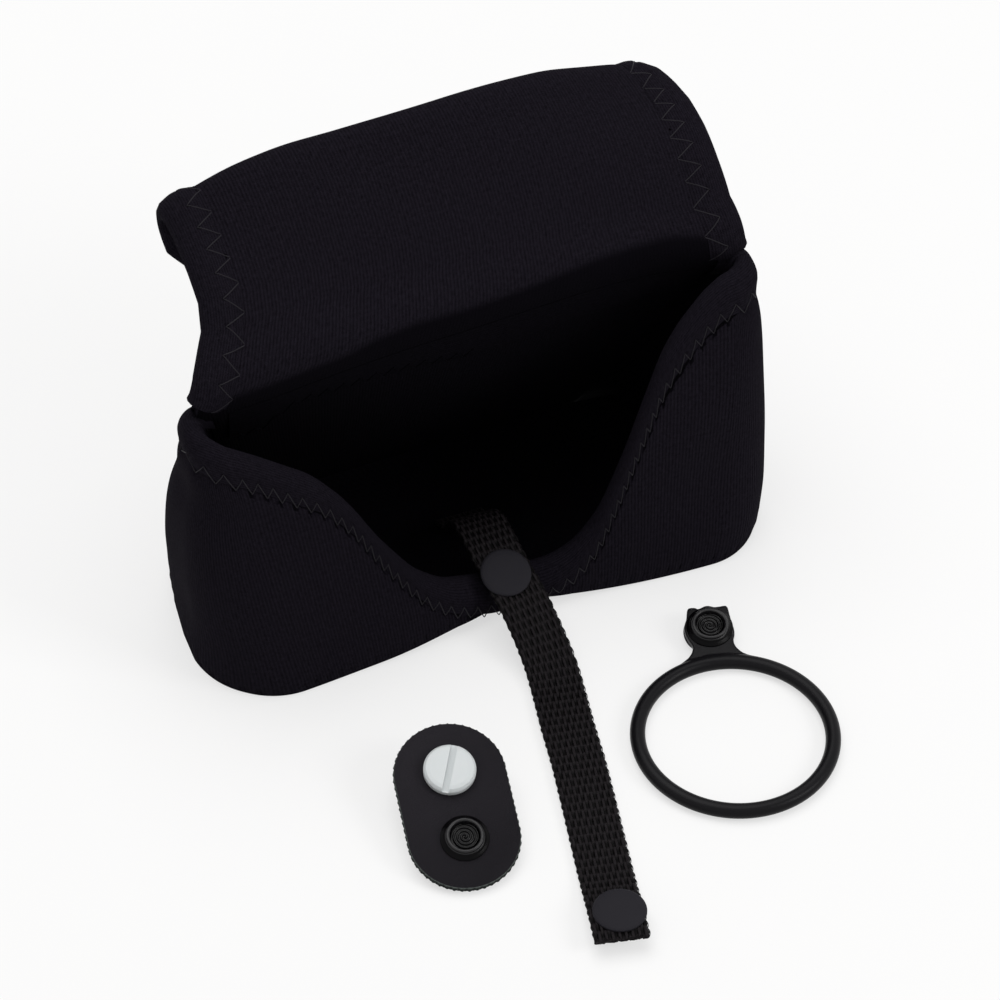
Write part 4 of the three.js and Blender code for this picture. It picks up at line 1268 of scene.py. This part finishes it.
def raised_snap(name, place, body, back):
    """Socket, coil and backing cap, all on one body, the cap so far behind the socket's foot."""
    shell = turned(f"{name}_crown", crown_profile, place, 80, 0.06)
    coil = lofted(f"{name}_coil", 96, 66, coil_place, lambda u, v: (u, v), fill=False)
    coil.data.transform(place)
    turned_back = place @ Matrix.Translation((0, 0, -back * MM)) @ Matrix.Rotation(math.pi, 4, "X")
    cap = turned(f"{name}_cap", cap_profile, turned_back)
    assemble(shell, snap_black, body, "snap", f"{name}_socket")
    assemble(coil, snap_coil, body, "snap")
    assemble(cap, cap_grey, body, "cap", f"{name}_cap")
    # The crown's upper faces take the painted highlight.
    shell.data.materials.append(painted_rim_highlight)
    for face in shell.data.polygons:
        if (place.inverted() @ face.center).z > 0.0011:
            face.material_index = 1


raised_snap("tab_snap", tab_frame @ Matrix.Translation((0, -0.00865, 0.0021)), "tab", 2.4)

# Lens ring. Moulded black rubber: a round section ring that runs into a flat eared tab, on which
# the snap sits. The ring lies flat and its tab rises a little.
ring_frame = Matrix.Translation((0.03415, -0.08885, 0.00185)) @ Matrix.Rotation(math.radians(-15.5), 4, "Z")
ring_tilt = (Matrix.Translation((0, 0.0231, 0)) @ Matrix.Rotation(math.radians(8), 4, "X")
             @ Matrix.Translation((0, -0.0231, 0)))
RING = 23.1
TUBE = 1.85
SNAP_ACROSS = -0.7
SNAP_AT = 32.75


def ring_place(u, v):
    section = v * 2 * np.pi
    return round_axis(RING + TUBE * np.cos(section), u, TUBE * np.sin(section))


rubber = moulding("black_rubber", (0.006, 0.0056, 0.0067), 0.3, 0.45, 0.00001, 700, 0.09)
ring = lofted("ring_rubber", 256, 40, ring_place, lambda u, v: (u, v), fill=False)
# Outline of the ring's tab, measured in the photograph: across, and how far past the ring's
# middle line.
plate_edge = [
    (-7.2, 1.6), (-6.2, 2.8), (-5.5, 4.5), (-5.7, 5.4), (-6.3, 6.9), (-6.8, 8.6), (-6.8, 10.1),
    (-6.5, 11.4), (-5.8, 13), (-5.3, 15.4), (-4.8, 16), (-3.1, 15.9), (-2.7, 15.3), (-0.9, 16.1),
    (0.2, 16.1), (1.5, 15.5), (2.6, 15.6), (4.4, 15.7), (4.75, 14.9), (4.9, 11), (4.9, 8.9),
    (4.6, 6), (4.5, 4.7), (4.8, 3.5), (5.9, 1.9), (7.4, 0.9), (9.2, 0.1), (10.6, -0.6),
    (10.6, -1.9), (0, -0.4), (-10.6, -2), (-10.6, -0.6), (-9, 0.3),
]
PLATE = 1.8
bm = bmesh.new()
foot = [bm.verts.new((x * MM, (RING + y) * MM, -PLATE / 2 * MM)) for x, y in reversed(plate_edge)]
solid = bmesh.ops.extrude_face_region(bm, geom=[bm.faces.new(foot)])
raised = [v for v in solid["geom"] if isinstance(v, bmesh.types.BMVert)]
bmesh.ops.translate(bm, vec=(0, 0, PLATE * MM), verts=raised)
uprights = [e for e in bm.edges if abs(e.verts[0].co.z - e.verts[1].co.z) > 0.001]
bmesh.ops.bevel(bm, geom=uprights, offset=0.0003, segments=2, profile=0.5, affect="EDGES", material=-1,
                clamp_overlap=True)
rims = [e for e in bm.edges if len(e.link_faces) == 2 and e.calc_face_angle(0) > 0.8]
bmesh.ops.bevel(bm, geom=rims, offset=0.00045, segments=3, profile=0.5, affect="EDGES", material=-1,
                clamp_overlap=True)
bmesh.ops.recalc_face_normals(bm, faces=bm.faces)
plate_mesh = bpy.data.meshes.new("ring_plate")
bm.to_mesh(plate_mesh)
bm.free()
plate_mesh.transform(ring_tilt)
plate = shown("ring_plate", plate_mesh)
with bpy.context.temp_override(active_object=ring, selected_editable_objects=[ring, plate]):
    bpy.ops.object.join()
melt = ring.modifiers.new("mould", "REMESH")
melt.mode = "VOXEL"
melt.voxel_size = 0.00022
melt.use_smooth_shade = True
soften = ring.modifiers.new("soften", "SMOOTH")
soften.iterations = 8
bpy.context.view_layer.update()
moulded = bpy.data.meshes.new_from_object(ring.evaluated_get(bpy.context.evaluated_depsgraph_get()))
ring.modifiers.clear()
ring.data = moulded
ring.data.transform(ring_frame)
ring.data.materials.clear()
assemble(ring, rubber, "ring", "rubber", "lens_ring")
snap_place = ring_frame @ ring_tilt @ Matrix.Translation((SNAP_ACROSS * MM, SNAP_AT * MM, 0.00095))
raised_snap("ring_snap", snap_place, "ring", 2.0)
